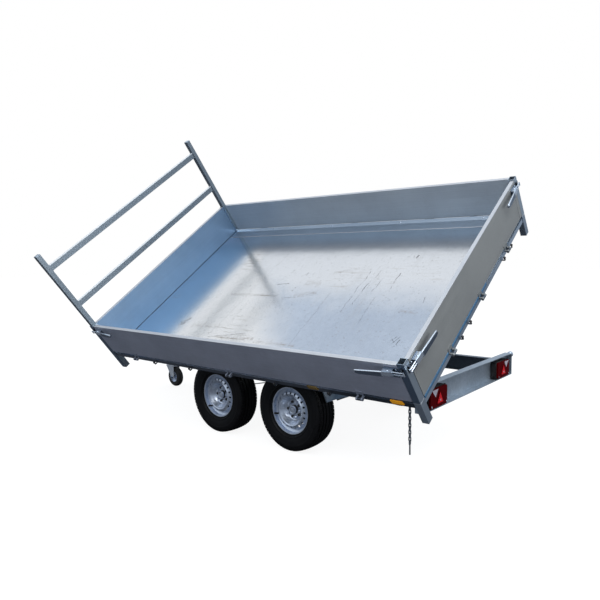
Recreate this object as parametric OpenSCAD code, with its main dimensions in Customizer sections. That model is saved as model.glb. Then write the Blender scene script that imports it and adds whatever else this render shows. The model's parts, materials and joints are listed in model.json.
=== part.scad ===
// Tandem-axle three-way tipper trailer, stored with its bed tipped to the left.
// Millimetres. +X points forward to the coupling, +Y to the left, +Z up.
// The origin is on the ground, on the centreline, midway between the two axles.

/* [Bed] */
// Length of the bed over its corner posts
bed_length = 3152; // [2700:1:3600]
// Width of the bed over its corner posts
bed_width = 1906; // [1800:1:2100]
// How far the middle of the bed lies ahead of the middle of the axles
bed_ahead = 29; // [0:1:120]
// Height of the loading floor above the tops of the tyres with the bed level
floor_above_tyre = 115; // [105:1:160]
// Height of the drop sides above the floor
side_height = 304; // [200:1:400]
// Thickness of the drop sides
side_thick = 25; // [20:1:30]
// Thickness of the floor sheet
floor_thick = 3; // [2:0.5:5]

/* [Ladder rack] */
// Height of the rack uprights above the floor
rack_height = 1040; // [800:1:1200]
// Width of the square uprights
rack_tube = 40; // [35:1:42]
// Height of the rack's cross bars
rack_bar_height = 50; // [40:1:60]

/* [Tipping] */
// Angle by which the bed is tipped to the left as stored
tip_angle = 36; // [30:0.1:38]
// Distance from the bed's side in to the tipping balls
tip_inset = 204; // [195:1:215]
// Height of the floor above the centres of the tipping balls
tip_drop = 137; // [132:1:145]
// Radius of a tipping ball
tip_ball_r = 24; // [20:1:26]

/* [Chassis] */
// Height of the chassis rails
rail_height = 120; // [100:1:130]
// Width of the chassis rails' flanges
rail_flange = 50; // [40:1:60]
// Distance from the tipping balls in to the rails' outer faces
rail_inset = 219; // [200:1:250]
// Sheet thickness of the rails and crossmembers
rail_thick = 5; // [4:0.5:6]
// Height of the rear crossmember that holds the lamps
rear_beam_height = 170; // [160:1:180]

/* [Running gear] */
// Distance between the two axles
axle_spacing = 770; // [700:1:800]
// Distance from the tipping balls in to the middles of the tyres
wheel_inset = 10; // [0:1:20]
// Outside diameter of the tyres
tyre_diameter = 592; // [560:1:600]
// Section width of the tyres
tyre_width = 182; // [165:1:190]
// Bead seat diameter of the rims
rim_diameter = 330; // [320:1:335]
// Round holes in each wheel disc
disc_holes = 20; // [12:1:24]

/* [Drawbar] */
// Distance from the bed's front to the tow ball's centre
drawbar_reach = 1345; // [1250:1:1500]
// Radius of the tow ball's socket
tow_socket_r = 25.2; // [25.1:0.1:25.5]

/* [Jockey wheel] */
// Distance from the pump box's front to the jockey wheel's stem
jockey_gap = 131; // [115:1:150]
// Outside diameter of the jockey wheel
jockey_diameter = 210; // [190:1:220]
// Distance that the jockey wheel trails behind its stem
jockey_trail = 85; // [60:1:100]

/* [Hidden] */
$fn = 64;

// Shared clearances
overrun = 2;        // how far every cut runs past its face
slip_gap = 0.3;     // between faces that slide or swing past each other
bearing_gap = 0.05; // between a pin and its bore
swing_gap = 5;      // between a swinging panel and what it closes against

// Colours of the finishes
zinc = "#b9c0c6";
panel_grey = "#7d8287";
floor_zinc = "#c4cad0";
rubber_black = "#1a1a1c";
rim_silver = "#c9ccd2";
lamp_red = "#a01014";
lens_clear = "#e8e8ee";
amber = "#e88a10";
plastic_black = "#202124";
cast_grey = "#4a4d50";

// Bed outline, with the bed level
bed_front = bed_ahead + bed_length / 2;
bed_rear = bed_ahead - bed_length / 2;
bed_side = bed_width / 2;
coupling_ahead = bed_front + drawbar_reach;
tip_y = bed_side - tip_inset;
floor_z = tyre_diameter + floor_above_tyre;
tip_height = floor_z - tip_drop;
side_top = floor_z + side_height;
side_lift = 11;      // lower edges of the drop sides above the floor
side_bottom = floor_z + side_lift;

// Corner posts
rear_post_x = 45;    // along the trailer
rear_post_y = 50;    // across the trailer
rear_post_wall = 3;
rear_post_rise = 8;  // above the drop sides
rear_post_drop = 169; // below the floor
front_post_x = 60;
front_post_y = 46;
front_post_drop = 192;
rack_x = bed_front - front_post_x / 2;
rack_y = bed_side - front_post_y / 2;
post_gap = 4;        // between a post and the side that meets it

// Edge rails round the floor
edge_depth = 46;     // below the floor
edge_inset = 4;      // behind the outer face of the sides
lip_rise = 13;       // inner lip above the floor, beside the wall
lip_slope = 30;      // how far in from the wall the lip slopes down to the floor
side_rail_gap = 44;  // side rails' inner edge out from the tipping balls
rail_inner = tip_y + side_rail_gap;
side_rail_reach = bed_side - side_thick - swing_gap - rail_inner;
ledge_drop = 14;     // ledge under the wall, below the floor

// Bed frame
crossbar_depth = 30;
crossbar_width = 40;
crossbar_bays = 6;    // bays between the rear and front tipping balls
beam_height = 60;
beam_width = 60;
beam_inset = 159;    // each beam's middle in from the tipping balls
beam_centre = tip_y - beam_inset;

// Drop side hinges
hinge_out = 22;      // pin outside the side's outer face
hinge_down = 18;     // pin below the floor
hinge_pin_r = 6;
hinge_knuckle_r = 10;
hinge_eye = 26;      // length of the fixed eye
hinge_knuckle = 12;  // length of each moving knuckle
hinge_strap_height = 46;
hinge_strap_thick = 4;
hinge_arm = 7;       // half height of the fixed eye's arm
side_hinge_end = 411;  // from the bed's end to the outer hinge
gate_hinge_end = 437;  // from the bed's side to the outer hinge

// Latches
latch_height = 72;
latch_base = 92;
latch_sheet = 4;
latch_cheek = 24;    // how far the cheeks stand out
latch_cheek_low = 22; // lower cheek above the base's lower edge
latch_reach = 40;    // bail past the side's end, over the post
latch_top_gap = 22;  // below the side's top edge
latch_pivot = 58;    // pivot pin in from the side's end
latch_pivot_r = 5.5;
lever_length = 268;
lever_wide = 30;
lever_tip = 16;
lever_thick = 5;
lever_skirt = 11;
lever_lift = 20;     // how far the lever's tip stands off
bail_r = 4;
bail_end_r = 4.6;
bail_half = 9;       // half the height between the bail's two wires
keeper_r = 6;
keeper_half = 24;
keeper_plate = 3;
keeper_gap = 2;      // between keeper and bail

// Tipping gear
tip_stem_r = 14;
tip_plate = 8;
socket_wall = 12;
socket_width = 56;
socket_gap = 0.4;
socket_cut = 20;      // the saddle's lower edge above the ball's centre
rear_ball_inset = 164;   // rear balls from the bed's rear
front_ball_inset = 401;  // front balls from the bed's front
rear_ball_x = bed_rear + rear_ball_inset;
front_ball_x = bed_front - front_ball_inset;

// Tipping cylinder
ram_x = bed_ahead;
ram_trunnion_drop = 19;   // trunnion below the rails
ram_head_drop = 100;     // head centre below the floor
ram_head_r = 25;
ram_barrel_r = 62;
ram_wall = 7;
ram_barrel_up = 40;      // above the trunnion
ram_barrel_down = 200;   // below the trunnion
ram_stages = 3;
ram_collar_step = 15;    // each stage's top above the one round it
ram_foot_step = 10;      // each stage's foot above the one round it
ram_collar = 12;
ram_stage_top = 108;     // last stage's shoulder above the trunnion, closed
ram_neck_r = 18;
ram_gland_r = 4;         // how far a collar stands out
ram_pin_r = 12;
ram_ring_gap = 12;
ram_ring_thick = 16;
ram_ring_height = 40;
ram_pin_reach = 36;
cradle_half = 170;       // from the cylinder to each cradle beam
cradle_plate = 12;
cradle_plate_gap = 12;   // between the ring and each hanger plate
cradle_plate_drop = 35;  // hanger plate below the trunnion
head_cup_gap = 13;       // room for the head in its cup
head_cup_wall = 10;
head_cup_length = 70;

// Rails
rail_drop = 1;           // rails' top below the tipping balls
rail_top = tip_height - rail_drop;
rail_bottom = rail_top - rail_height;
rail_outer = tip_y - rail_inset;
ram_trunnion_z = rail_bottom - ram_trunnion_drop;
beam_depth = 58;         // of the crossmembers, along the trailer
tip_neck = 4;            // between a crossmember's end and its ball
rear_beam_width = 2 * (tip_y - tip_ball_r - tip_neck);
rear_beam_rise = 16;
rear_beam_top = rail_top + rear_beam_rise;
rear_ball_offset = 32;   // from the rear balls to the rear crossmember's front face
rear_beam_x = rear_ball_x + rear_ball_offset;
end_plate = 6;
front_beam_x = front_ball_x - beam_depth / 2;
front_beam_width = rear_beam_width;

// Lamps
lamp_width = 228;
lamp_height = 128;
lamp_foot = 6;           // above the crossmember's lower flange
lamp_inset = 331;        // lamp's inner edge in from the tipping balls
lamp_inner = tip_y - lamp_inset;
lamp_round = 12;
lamp_depth = 44;
lens_depth = 18;
lens_inset = 3;
clear_width = 96;
clear_height = 66;
warning_width = 92;      // triangular reflector
warning_height = 80;
warning_inset = 58;      // from the lamp's inner edge to the triangle
warning_foot = 22;
warning_proud = 3;

// Wheels
axle_x = axle_spacing / 2;
wheel_r = tyre_diameter / 2;
wheel_y = tip_y - wheel_inset;
bead_r = rim_diameter / 2;
rim_half = 70;           // half width over the rim's flanges
rim_flange = 14;         // flange height above the bead seat
rim_sheet = 4;
rim_well = 18;           // well depth below the bead seat
rim_seat = 34;           // width of each bead seat
disc_hole_circle = 126;
disc_hole_r = 8;
disc_bowl_r = 78;
bolt_circle = 56;
bolt_count = 5;
bolt_r = 7;
bolt_head_r = 10;
bolt_head = 12;
hub_nose_r = 32;
disc_hub_out = 12;       // bolting face, outward from the wheel's middle
hub_face = disc_hub_out - rim_sheet / 2;  // back of the disc where the hub bolts on
disc_edge_out = 18;      // outer edge, outward from the wheel's middle
disc_steps = [[138, 44], [132, 54], [119, 60], [111, 66], [103, 62], [88, 36], [78, 22], [70, 16]]; // radius, out
tyre_tread = 13;         // tread thickness
tyre_wall = 9;           // sidewall thickness
tyre_arc_steps = 8;
tread_half_share = 0.41; // tread half width as a share of the section width
shoulder_share = 0.9;    // where the sidewall meets the shoulder, share of section height
stub_r = 20;
drum_r = 114;
drum_depth = 62;
drum_wall = 12;
hub_cap_r = 28;
hub_cap = 32;
backplate_r = 118;
backplate_thick = 4;
backplate_gap = 3;

// Axles
axle_tube = 80;
axle_wall = 6;
axle_lead = 150;         // axle tube ahead of the wheel's centre
axle_pad_height = 16;    // between the axle tube and the rails
arm_thick = 34;
arm_gap = 12;            // between the arm and the tyre's inner side
arm_boss_r = 42;
arm_hub_r = 36;
axle_pad = 70;           // width of the pad under each rail

// Mudguards
guard_sheet = 3;
guard_gap = 16;          // above the tyre
guard_in = 87;           // inner edge in from the tyre's middle
guard_out = 31;          // outer edge out from the tyre's middle
guard_inner = wheel_y - guard_in;
guard_outer = wheel_y + guard_out;
guard_lip = 10;          // depth of the outer lip, less than the gap above the tyre
guard_rear_drop = 213;   // rear end below the top
guard_front_drop = 88;
guard_slope_share = 0.4; // run over fall of the sloping ends
guard_end = 612;         // top corner, from the axles' middle, beyond which it slopes
guard_stay = 40;

// Drawbar
leg_height = 100;
leg_width = 50;
leg_rear_x = 640;
head_reach = 390;        // from the legs' front ends to the tow ball
leg_front_x = coupling_ahead - head_reach;
leg_rear_inset = 32;     // legs' rear ends in from the rails' outer faces
leg_rear_y = rail_outer - leg_rear_inset;
leg_front_y = 70;
leg_wall = 5;
leg_top = rail_bottom;
leg_slope = (leg_rear_y - leg_front_y) / (leg_front_x - leg_rear_x);
leg_turn = atan(leg_slope);
function leg_y(x) = leg_rear_y - leg_slope * (x - leg_rear_x);

// Overrun coupling
overrun_back = 180;      // housing behind the legs' front ends
overrun_ahead = 180;     // housing ahead of the legs' front ends
overrun_rear = leg_front_x - overrun_back;
overrun_front = leg_front_x + overrun_ahead;
overrun_r = 42;
overrun_seat = 7;        // housing's axis above the legs
overrun_z = leg_top + overrun_seat;
tow_ball_drop = 22;      // tow ball's centre below the housing's axis
tow_ball_height = overrun_z - tow_ball_drop;
overrun_foot = 12;
shaft_r = 26;
bellows_r = 40;
bellows_folds = 5;
bellows_length = 98;
bellows_front = overrun_front + bellows_length;
coupling_wall = 12;
coupling_depth = 34;
coupling_roof = 14;
coupling_neck_r = 30;
coupling_lever = 190;
coupling_lever_w = 30;
coupling_lever_t = 8;
coupling_lever_lean = 21;
brake_lever = 300;
brake_lever_w = 26;
brake_lever_t = 10;
brake_lever_lean = 32;

// Brake linkage
linkage_drop = 23;       // rod below the legs
linkage_z = leg_top - leg_height - linkage_drop;
linkage_rod_r = 6;
linkage_x = 170;
linkage_y = -56;
equaliser_half = 90;
equaliser_t = 10;
equaliser_h = 26;
cable_r = 4;
cable_end_rise = 8;      // cable ends above the rod

// Pump box
box_gap = 84;            // behind the box, to the bed
box_rear = bed_front + box_gap;
box_length = 300;
box_width = 380;
box_height = 250;
box_round = 30;
box_lid = 46;
box_lid_lip = 8;
box_skid = 8;
box_skid_width = 540;

// Jockey wheel
jockey_tube_r = 24;
jockey_tube_wall = 3.5;
jockey_tube_gap = 42;     // tube above the fork's crown
jockey_tube_rise = 195;   // tube above the legs
jockey_crank = 150;
jockey_crank_r = 6;
jockey_knob_r = 12;
jockey_knob = 80;
jockey_clamp_h = 60;
jockey_clamp_t = 12;
jockey_wheel_w = 58;
jockey_rim_r = 58;
jockey_hub_r = 20;
jockey_pin_r = 8;
jockey_fork_t = 5;
jockey_fork_gap = 6;
jockey_fork_w = 36;
jockey_crown = 10;

// Locking chain
chain_gap = 44;          // ahead of the rear crossmember
chain_x = rear_beam_x + chain_gap;
chain_inset = 43;        // in from the tipping balls
chain_y = tip_y - chain_inset;
chain_drop = 51;         // hung below the crossmember's top
chain_top = rear_beam_top - chain_drop;
chain_links = 15;
chain_pitch = 22;
chain_wire = 3;
chain_half = 6.5;        // half width between the wire's middles
chain_eye_r = 9;
chain_pin = 62;
chain_pin_r = 5;

// Reflectors and hooks
reflector_length = 88;
reflector_height = 24;
reflector_thick = 9;
reflector_slant = 10;
reflector_low = 27;      // lower edge below the floor
reflector_inset = 158;   // rear reflector from the bed's rear
reflector_share = 0.249; // middle reflector behind the bed's middle, of the bed's length
reflector_places = [bed_rear + reflector_inset, bed_ahead - reflector_share * bed_length];
hook_r = 5;
hook_out = 16;
hook_drop = 20;
hook_shares_x = [-0.29, -0.14, 0.15, 0.295];  // of the bed's length
hook_shares_y = [-0.31, -0.231, 0.118, 0.192]; // of the bed's width
hook_places_x = [for (f = hook_shares_x) bed_ahead + f * bed_length];
hook_places_y = [for (f = hook_shares_y) f * bed_width];

// Basic shapes

// Box between two limits on each axis.
module span(x, y, z) {
    translate([x[0], y[0], z[0]]) cube([x[1] - x[0], y[1] - y[0], z[1] - z[0]]);
}

// Round bars along each axis.
module bar_x(r, x, y, z) {
    translate([x[0], y, z]) rotate([0, 90, 0]) cylinder(r = r, h = x[1] - x[0]);
}
module bar_y(r, y, x, z) {
    translate([x, y[0], z]) rotate([-90, 0, 0]) cylinder(r = r, h = y[1] - y[0]);
}
module bar_z(r, z, x, y) {
    translate([x, y, z[0]]) cylinder(r = r, h = z[1] - z[0]);
}

// Round bar between any two points.
module bar_between(r, a, b) {
    d = b - a;
    translate(a)
        rotate([0, acos(d[2] / norm(d)), atan2(d[1], d[0])])
            cylinder(r = r, h = norm(d));
}

// Flat outlines pushed along X (outline in Y, Z) or along Y (outline in X, Z).
module push_x(x) {
    translate([x[0], 0, 0]) rotate([90, 0, 90]) linear_extrude(height = x[1] - x[0]) children();
}
module push_y(y) {
    translate([0, y[1], 0]) rotate([90, 0, 0]) linear_extrude(height = y[1] - y[0]) children();
}

// The same thing on the left and on the right.
module both_sides() {
    children();
    mirror([0, 1, 0]) children();
}

// Rectangle with round corners, from its lower left corner.
module round_rect(w, h, r) {
    translate([r, 0]) square([w - 2 * r, h]);
    translate([0, r]) square([w, h - 2 * r]);
    for (x = [r, w - r], y = [r, h - r]) translate([x, y]) circle(r = r);
}

// Channel outline, web on its left, open to its right.
module channel(w, h, t) {
    difference() {
        square([w, h]);
        translate([t, t]) square([w, h - 2 * t]);
    }
}

// Turns what is drawn with the bed level into the tipped pose.
module tipped() {
    translate([0, tip_y, tip_height])
        rotate([-tip_angle, 0, 0])
            translate([0, -tip_y, -tip_height]) children();
}

// Chassis

module chassis_rails() {
    color(zinc) both_sides()
        push_x([rear_beam_x, front_beam_x])
            translate([rail_outer, rail_bottom]) mirror([1, 0]) channel(rail_flange, rail_height, rail_thick);
}

module drawbar_leg() {
    length = norm([leg_front_x - leg_rear_x, leg_rear_y - leg_front_y]);
    translate([leg_rear_x, leg_rear_y, leg_top - leg_height])
        rotate([0, 0, -leg_turn])
            difference() {
                translate([0, -leg_width / 2, 0]) cube([length, leg_width, leg_height]);
                translate([-overrun, -leg_width / 2 + leg_wall, leg_wall])
                    cube([length + 2 * overrun, leg_width - 2 * leg_wall, leg_height - 2 * leg_wall]);
            }
}

module drawbar_legs() {
    color(zinc) both_sides() drawbar_leg();
}

// Crossmember across the whole chassis, open to the rear or to the front.
module wide_beam(x, width, top, height, open_front) {
    push_y([-width / 2, width / 2])
        translate([open_front ? x : x + beam_depth, top - height])
            mirror([open_front ? 0 : 1, 0]) channel(beam_depth, height, rail_thick);
    both_sides()
        span([x, x + beam_depth], [width / 2 - end_plate, width / 2], [top - height, top]);
}

module crossmembers() {
    color(zinc) {
        wide_beam(front_beam_x, front_beam_width, rail_top, rail_height, true);
        for (s = [-1, 1])
            push_y([-rail_outer + rail_thick, rail_outer - rail_thick])
                translate([ram_x + s * cradle_half, rail_bottom + rail_thick])
                    mirror([s > 0 ? 0 : 1, 0])
                        channel(rail_flange, rail_height - 2 * rail_thick, rail_thick);
    }
}

module rear_beam() {
    color(zinc)
        wide_beam(rear_beam_x - beam_depth, rear_beam_width, rear_beam_top, rear_beam_height, false);
}

module tip_balls() {
    color(zinc) both_sides()
        for (place = [[rear_ball_x, rear_beam_width / 2], [front_ball_x, front_beam_width / 2]]) {
            translate([place[0], tip_y, tip_height]) sphere(r = tip_ball_r);
            bar_y(tip_stem_r, [place[1], tip_y], place[0], tip_height);
        }
}

// Rear lamps, seated in the channel of the rear crossmember

lamp_web_x = rear_beam_x - rail_thick;
lamp_z = rear_beam_top - rear_beam_height + rail_thick + lamp_foot;

// Outline of one lamp, pushed from the web towards the rear.
module lamp_block(from, depth, inset) {
    push_x([lamp_web_x - from - depth, lamp_web_x - from])
        translate([lamp_inner + inset, lamp_z + inset])
            round_rect(lamp_width - 2 * inset, lamp_height - 2 * inset, lamp_round);
}

// Clear corner of one lamp: a triangle at the outer top corner.
module lamp_corner(extra) {
    w = clear_width + extra;
    h = clear_height + extra;
    top = lamp_z + lamp_height - lens_inset - lamp_round / 2;
    out = lamp_inner + lamp_width - lens_inset - lamp_round / 2;
    push_x([lamp_web_x - lamp_depth - lens_depth - overrun, lamp_web_x - lamp_depth - lens_depth / 2])
        polygon([[out, top], [out - w, top], [out, top - h]]);
}

// Triangular reflector, standing out of one lamp's lens.
module lamp_triangle() {
    y = lamp_inner + warning_inset;
    z = lamp_z + warning_foot;
    push_x([lamp_web_x - lamp_depth - lens_depth - warning_proud, lamp_web_x - lamp_depth - lens_depth / 2])
        polygon([[y, z], [y + warning_width, z], [y + warning_width / 2, z + warning_height]]);
}

module lamp_housings() {
    color(plastic_black) both_sides() lamp_block(0, lamp_depth, 0);
}

module lamp_red_lenses() {
    color(lamp_red) both_sides()
        difference() {
            union() {
                lamp_block(lamp_depth, lens_depth, lens_inset);
                lamp_triangle();
            }
            lamp_corner(0);
        }
}

module lamp_clear_lenses() {
    color(lens_clear) both_sides()
        intersection() {
            lamp_block(lamp_depth, lens_depth, lens_inset);
            lamp_corner(-slip_gap);
        }
}

// Running gear

arm_outer = wheel_y - tyre_width / 2 - arm_gap;
axle_half = arm_outer - arm_thick;
backplate_y = wheel_y + hub_face - drum_depth - backplate_gap;
axle_z = rail_bottom - axle_pad_height - axle_tube / 2;

module axle_tubes() {
    color(zinc)
        for (x = [-axle_x, axle_x])
            difference() {
                union() {
                    span([x + axle_lead - axle_tube / 2, x + axle_lead + axle_tube / 2],
                         [-axle_half, axle_half], [axle_z - axle_tube / 2, axle_z + axle_tube / 2]);
                    for (s = [-1, 1])
                        span([x + axle_lead - axle_pad, x + axle_lead + axle_pad],
                             s > 0 ? [rail_outer - rail_flange, rail_outer] : [-rail_outer, rail_flange - rail_outer],
                             [axle_z + axle_tube / 2 - overrun, rail_bottom]);
                }
                span([x + axle_lead - axle_tube / 2 + axle_wall, x + axle_lead + axle_tube / 2 - axle_wall],
                     [-axle_half - overrun, axle_half + overrun],
                     [axle_z - axle_tube / 2 + axle_wall, axle_z + axle_tube / 2 - axle_wall]);
            }
}

// Trailing arm with its stub axle and brake backplate, on the left.
module swing_arm(x) {
    hull() {
        bar_y(arm_boss_r, [arm_outer - arm_thick, arm_outer], x + axle_lead, axle_z, $fn = 32);
        bar_y(arm_hub_r, [arm_outer - arm_thick, arm_outer], x, wheel_r, $fn = 32);
    }
    bar_y(arm_hub_r, [arm_outer - overrun, backplate_y - overrun], x, wheel_r);
    bar_y(stub_r, [arm_outer - overrun, wheel_y + hub_face + bolt_head], x, wheel_r);
    bar_y(backplate_r, [backplate_y - backplate_thick, backplate_y], x, wheel_r);
}

module swing_arms() {
    color(zinc) both_sides() for (x = [-axle_x, axle_x]) swing_arm(x);
}

// Sheet mudguard over both wheels of one side, with a lip along its outer edge.
guard_top = tyre_diameter + guard_gap;
guard_rear_low = guard_top - guard_rear_drop;
guard_front_low = guard_top - guard_front_drop;
guard_rear_run = guard_slope_share * guard_rear_drop;
guard_front_run = guard_slope_share * guard_front_drop;

// Edge line of the mudguard, moved in towards the wheels by a step.
function guard_line(step) = [
    [-guard_end - guard_rear_run + step, guard_rear_low],
    [-guard_end + step, guard_top - step],
    [guard_end - step, guard_top - step],
    [guard_end + guard_front_run - step, guard_front_low]
];
function reversed(p) = [for (i = [len(p) - 1:-1:0]) p[i]];

module guard_band(depth) {
    polygon(concat(guard_line(0), reversed(guard_line(depth))));
}

module mudguards() {
    color(zinc) both_sides() {
        push_y([guard_inner, guard_outer]) guard_band(guard_sheet);
        push_y([guard_outer - guard_sheet, guard_outer]) guard_band(guard_lip);
        for (x = [-guard_end + guard_stay, guard_end - 2 * guard_stay])
            span([x, x + guard_stay], [rail_outer, guard_inner + overrun],
                 [guard_top - rail_flange, guard_top - guard_sheet]);
    }
}

// Tyre outline: an outer wall from bead to bead and the same wall moved in by its thickness.
// Side of the tyre from the rim's flange to the shoulder, bulging to its half width.
function tyre_side(half, bead, low, high, tread_half) = [
    for (i = [0:tyre_arc_steps])
        let (a = 180 * i / tyre_arc_steps, foot = i <= tyre_arc_steps / 2 ? bead : tread_half)
        [low + (high - low) * (1 - cos(a)) / 2, foot + (half - foot) * sin(a)]
];

module tyre_outline() {
    seat = bead_r + slip_gap;
    bead = rim_half - 2 * rim_sheet - slip_gap;
    low = bead_r + rim_flange + slip_gap;
    high = bead_r + (wheel_r - bead_r) * shoulder_share;
    tread_half = tyre_width * tread_half_share;
    outer = concat([[seat, bead]],
                   tyre_side(tyre_width / 2, bead + rim_sheet, low, high, tread_half + tyre_wall / 2),
                   [[wheel_r - tyre_wall / 2, tread_half], [wheel_r, tread_half - tyre_tread]]);
    inner = concat([[seat, bead - tyre_wall]],
                   tyre_side(tyre_width / 2 - tyre_wall, bead - tyre_wall, low, high - tyre_wall, tread_half - tyre_wall),
                   [[wheel_r - tyre_tread, tread_half - 2 * tyre_tread]]);
    flip = function (p) [for (q = p) [q[0], -q[1]]];
    polygon(concat(outer, reversed(flip(outer)), flip(inner), reversed(inner)));
}

// Stands a turned outline on the wheel's axle: radius to X, width to Y.
module on_axle(x, y) {
    translate([x, y, wheel_r]) rotate([-90, 0, 0]) rotate_extrude() children();
}

module tyre(x, s) {
    color(rubber_black) on_axle(x, s * wheel_y) tyre_outline();
}

// Rim barrel and dished disc as one turned sheet, outer face at +Y.
module rim_outline() {
    t = rim_sheet;
    slant = rim_half - rim_seat;
    well = slant - rim_well / 2;
    seat_side = [[bead_r + rim_flange, rim_half - t], [bead_r, rim_half - 2 * t], [bead_r, slant],
                 [bead_r - rim_well, well]];
    hub_side = [[bead_r + rim_flange, rim_half], [bead_r - t, rim_half - t], [bead_r - t, slant + t / 2],
                [bead_r - rim_well - t, well + t / 2]];
    flip = function (p) [for (q = p) [q[0], -q[1]]];
    polygon(concat(seat_side, reversed(flip(seat_side)), flip(hub_side), reversed(hub_side)));
    disc_edge = bead_r - rim_well - t / 2;
    face = concat([[disc_edge, disc_edge_out]], disc_steps, [[hub_nose_r, disc_hub_out + t]]);
    back = [for (q = reversed(face)) [q[0], q[1] - 1.5 * t]];
    polygon(concat(face, back));
}

module rim(x, s) {
    color(rim_silver)
        translate([x, s * wheel_y, wheel_r])
            mirror([0, s > 0 ? 0 : 1, 0])
                difference() {
                    rotate([-90, 0, 0]) rotate_extrude() rim_outline();
                    for (i = [0:disc_holes - 1])
                        rotate([0, 360 * i / disc_holes, 0])
                            bar_y(disc_hole_r, [-rim_seat, rim_half], disc_hole_circle, 0);
                    for (i = [0:bolt_count - 1])
                        rotate([0, 360 * i / bolt_count, 0])
                            bar_y(bolt_r + slip_gap, [-rim_seat, rim_half], bolt_circle, 0);
                }
}

// Brake drum, hub with its five wheel bolts, and grease cap, outer face at +Y.
module hub(x, s) {
    face = hub_face;
    head = face + rim_sheet * 1.5;
    color(cast_grey)
        translate([x, s * wheel_y, wheel_r])
            mirror([0, s > 0 ? 0 : 1, 0])
                difference() {
                    union() {
                        bar_y(drum_r, [face - drum_depth, face - drum_wall / 2], 0, 0);
                        bar_y(disc_bowl_r - rim_sheet * 3, [face - drum_wall, face], 0, 0);
                        bar_y(hub_nose_r - slip_gap, [face - drum_wall, face + bolt_head], 0, 0);
                        bar_y(hub_cap_r, [face, face + hub_cap], 0, 0);
                        for (i = [0:bolt_count - 1])
                            rotate([0, 360 * i / bolt_count, 0]) {
                                bar_y(bolt_r, [face - drum_wall, face + bolt_head], bolt_circle, 0);
                                bar_y(bolt_head_r, [head, head + bolt_head], bolt_circle, 0);
                            }
                    }
                    bar_y(drum_r - drum_wall, [face - drum_depth - overrun, face - drum_depth + drum_depth / 2], 0, 0);
                    bar_y(stub_r + bearing_gap, [face - drum_depth, face + bolt_head + overrun], 0, 0);
                }
}

// Drawbar fittings

module overrun_housing() {
    color(cast_grey) {
        difference() {
            union() {
                bar_x(overrun_r, [overrun_rear, overrun_front], 0, overrun_z);
                span([overrun_rear, leg_front_x + overrun_foot], [-leg_front_y, leg_front_y],
                     [leg_top, leg_top + overrun_foot]);
                for (x = [overrun_rear, leg_front_x])
                    span([x, x + overrun_foot], [-overrun_r, overrun_r], [leg_top, overrun_z]);
            }
            bar_x(shaft_r + slip_gap, [overrun_front - overrun_r, overrun_front + overrun], 0, overrun_z);
        }
    }
}

module overrun_bellows() {
    fold = (bellows_front - overrun_front) / bellows_folds;
    color(rubber_black)
        translate([overrun_front, 0, overrun_z]) rotate([0, 90, 0])
            rotate_extrude()
                polygon(concat(
                    [for (i = [0:bellows_folds - 1]) each [
                        [shaft_r + rim_sheet, fold * i], [bellows_r, fold * (i + 0.5)]]],
                    [[shaft_r + rim_sheet, fold * bellows_folds], [shaft_r + slip_gap, fold * bellows_folds],
                     [shaft_r + slip_gap, 0]]));
}

module coupling_head() {
    body_r = tow_socket_r + coupling_wall;
    roof = tow_ball_height + coupling_roof;
    color(cast_grey)
        difference() {
            union() {
                bar_x(shaft_r, [overrun_front - overrun_r + overrun, bellows_front + coupling_neck_r], 0, overrun_z);
                hull() {
                    bar_x(coupling_neck_r, [bellows_front, bellows_front + coupling_wall], 0, overrun_z, $fn = 32);
                    bar_z(body_r, [roof, roof + coupling_roof], coupling_ahead, 0, $fn = 32);
                }
                bar_z(body_r, [tow_ball_height - coupling_depth / 2, roof + coupling_roof], coupling_ahead, 0);
                translate([coupling_ahead, 0, roof + coupling_roof])
                    rotate([0, coupling_lever_lean, 0])
                        span([-coupling_lever, body_r / 2], [-coupling_lever_w / 2, coupling_lever_w / 2],
                             [-overrun, coupling_lever_t]);
            }
            bar_z(tow_socket_r, [tow_ball_height - coupling_depth / 2 - overrun, roof], coupling_ahead, 0);
        }
}

module handbrake_lever() {
    base = overrun_rear + overrun_r;
    side = leg_front_y + brake_lever_t / 2;
    base_z = leg_top + brake_lever_w + slip_gap;
    color(zinc) {
        bar_y(brake_lever_w, [leg_front_y, side + brake_lever_t], base, base_z);
        translate([base, side, base_z])
            rotate([0, brake_lever_lean, 0])
                span([-brake_lever_w / 2, brake_lever_w / 2], [0, brake_lever_t], [0, brake_lever]);
        translate([base, side + brake_lever_t / 2, base_z])
            rotate([0, brake_lever_lean, 0])
                bar_z(brake_lever_w / 2, [brake_lever - rail_height, brake_lever + brake_lever_w], 0, 0);
    }
}

module brake_linkage() {
    color(zinc) {
        bar_x(linkage_rod_r, [linkage_x, overrun_rear], linkage_y, linkage_z);
        span([linkage_x - equaliser_t, linkage_x + overrun], [-equaliser_half, equaliser_half],
             [linkage_z - equaliser_h / 2, linkage_z + equaliser_h / 2]);
        bar_z(linkage_rod_r * 2, [linkage_z - linkage_rod_r, leg_top], overrun_rear + 2 * linkage_rod_r, linkage_y);
        both_sides() for (x = [-axle_x, axle_x])
            bar_between(cable_r, [linkage_x - equaliser_t / 2, equaliser_half - equaliser_t, linkage_z],
                        [x, axle_half - 2 * cable_r, linkage_z + cable_end_rise]);
    }
}

// Jockey wheel

jockey_r = jockey_diameter / 2;
jockey_ahead = box_rear + box_length + jockey_gap;
jockey_wheel_x = jockey_ahead - jockey_trail;
jockey_crown_z = jockey_diameter + jockey_fork_gap + jockey_crown;
jockey_tube_low = jockey_crown_z + jockey_tube_gap;
jockey_tube_top = leg_top + jockey_tube_rise;

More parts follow.
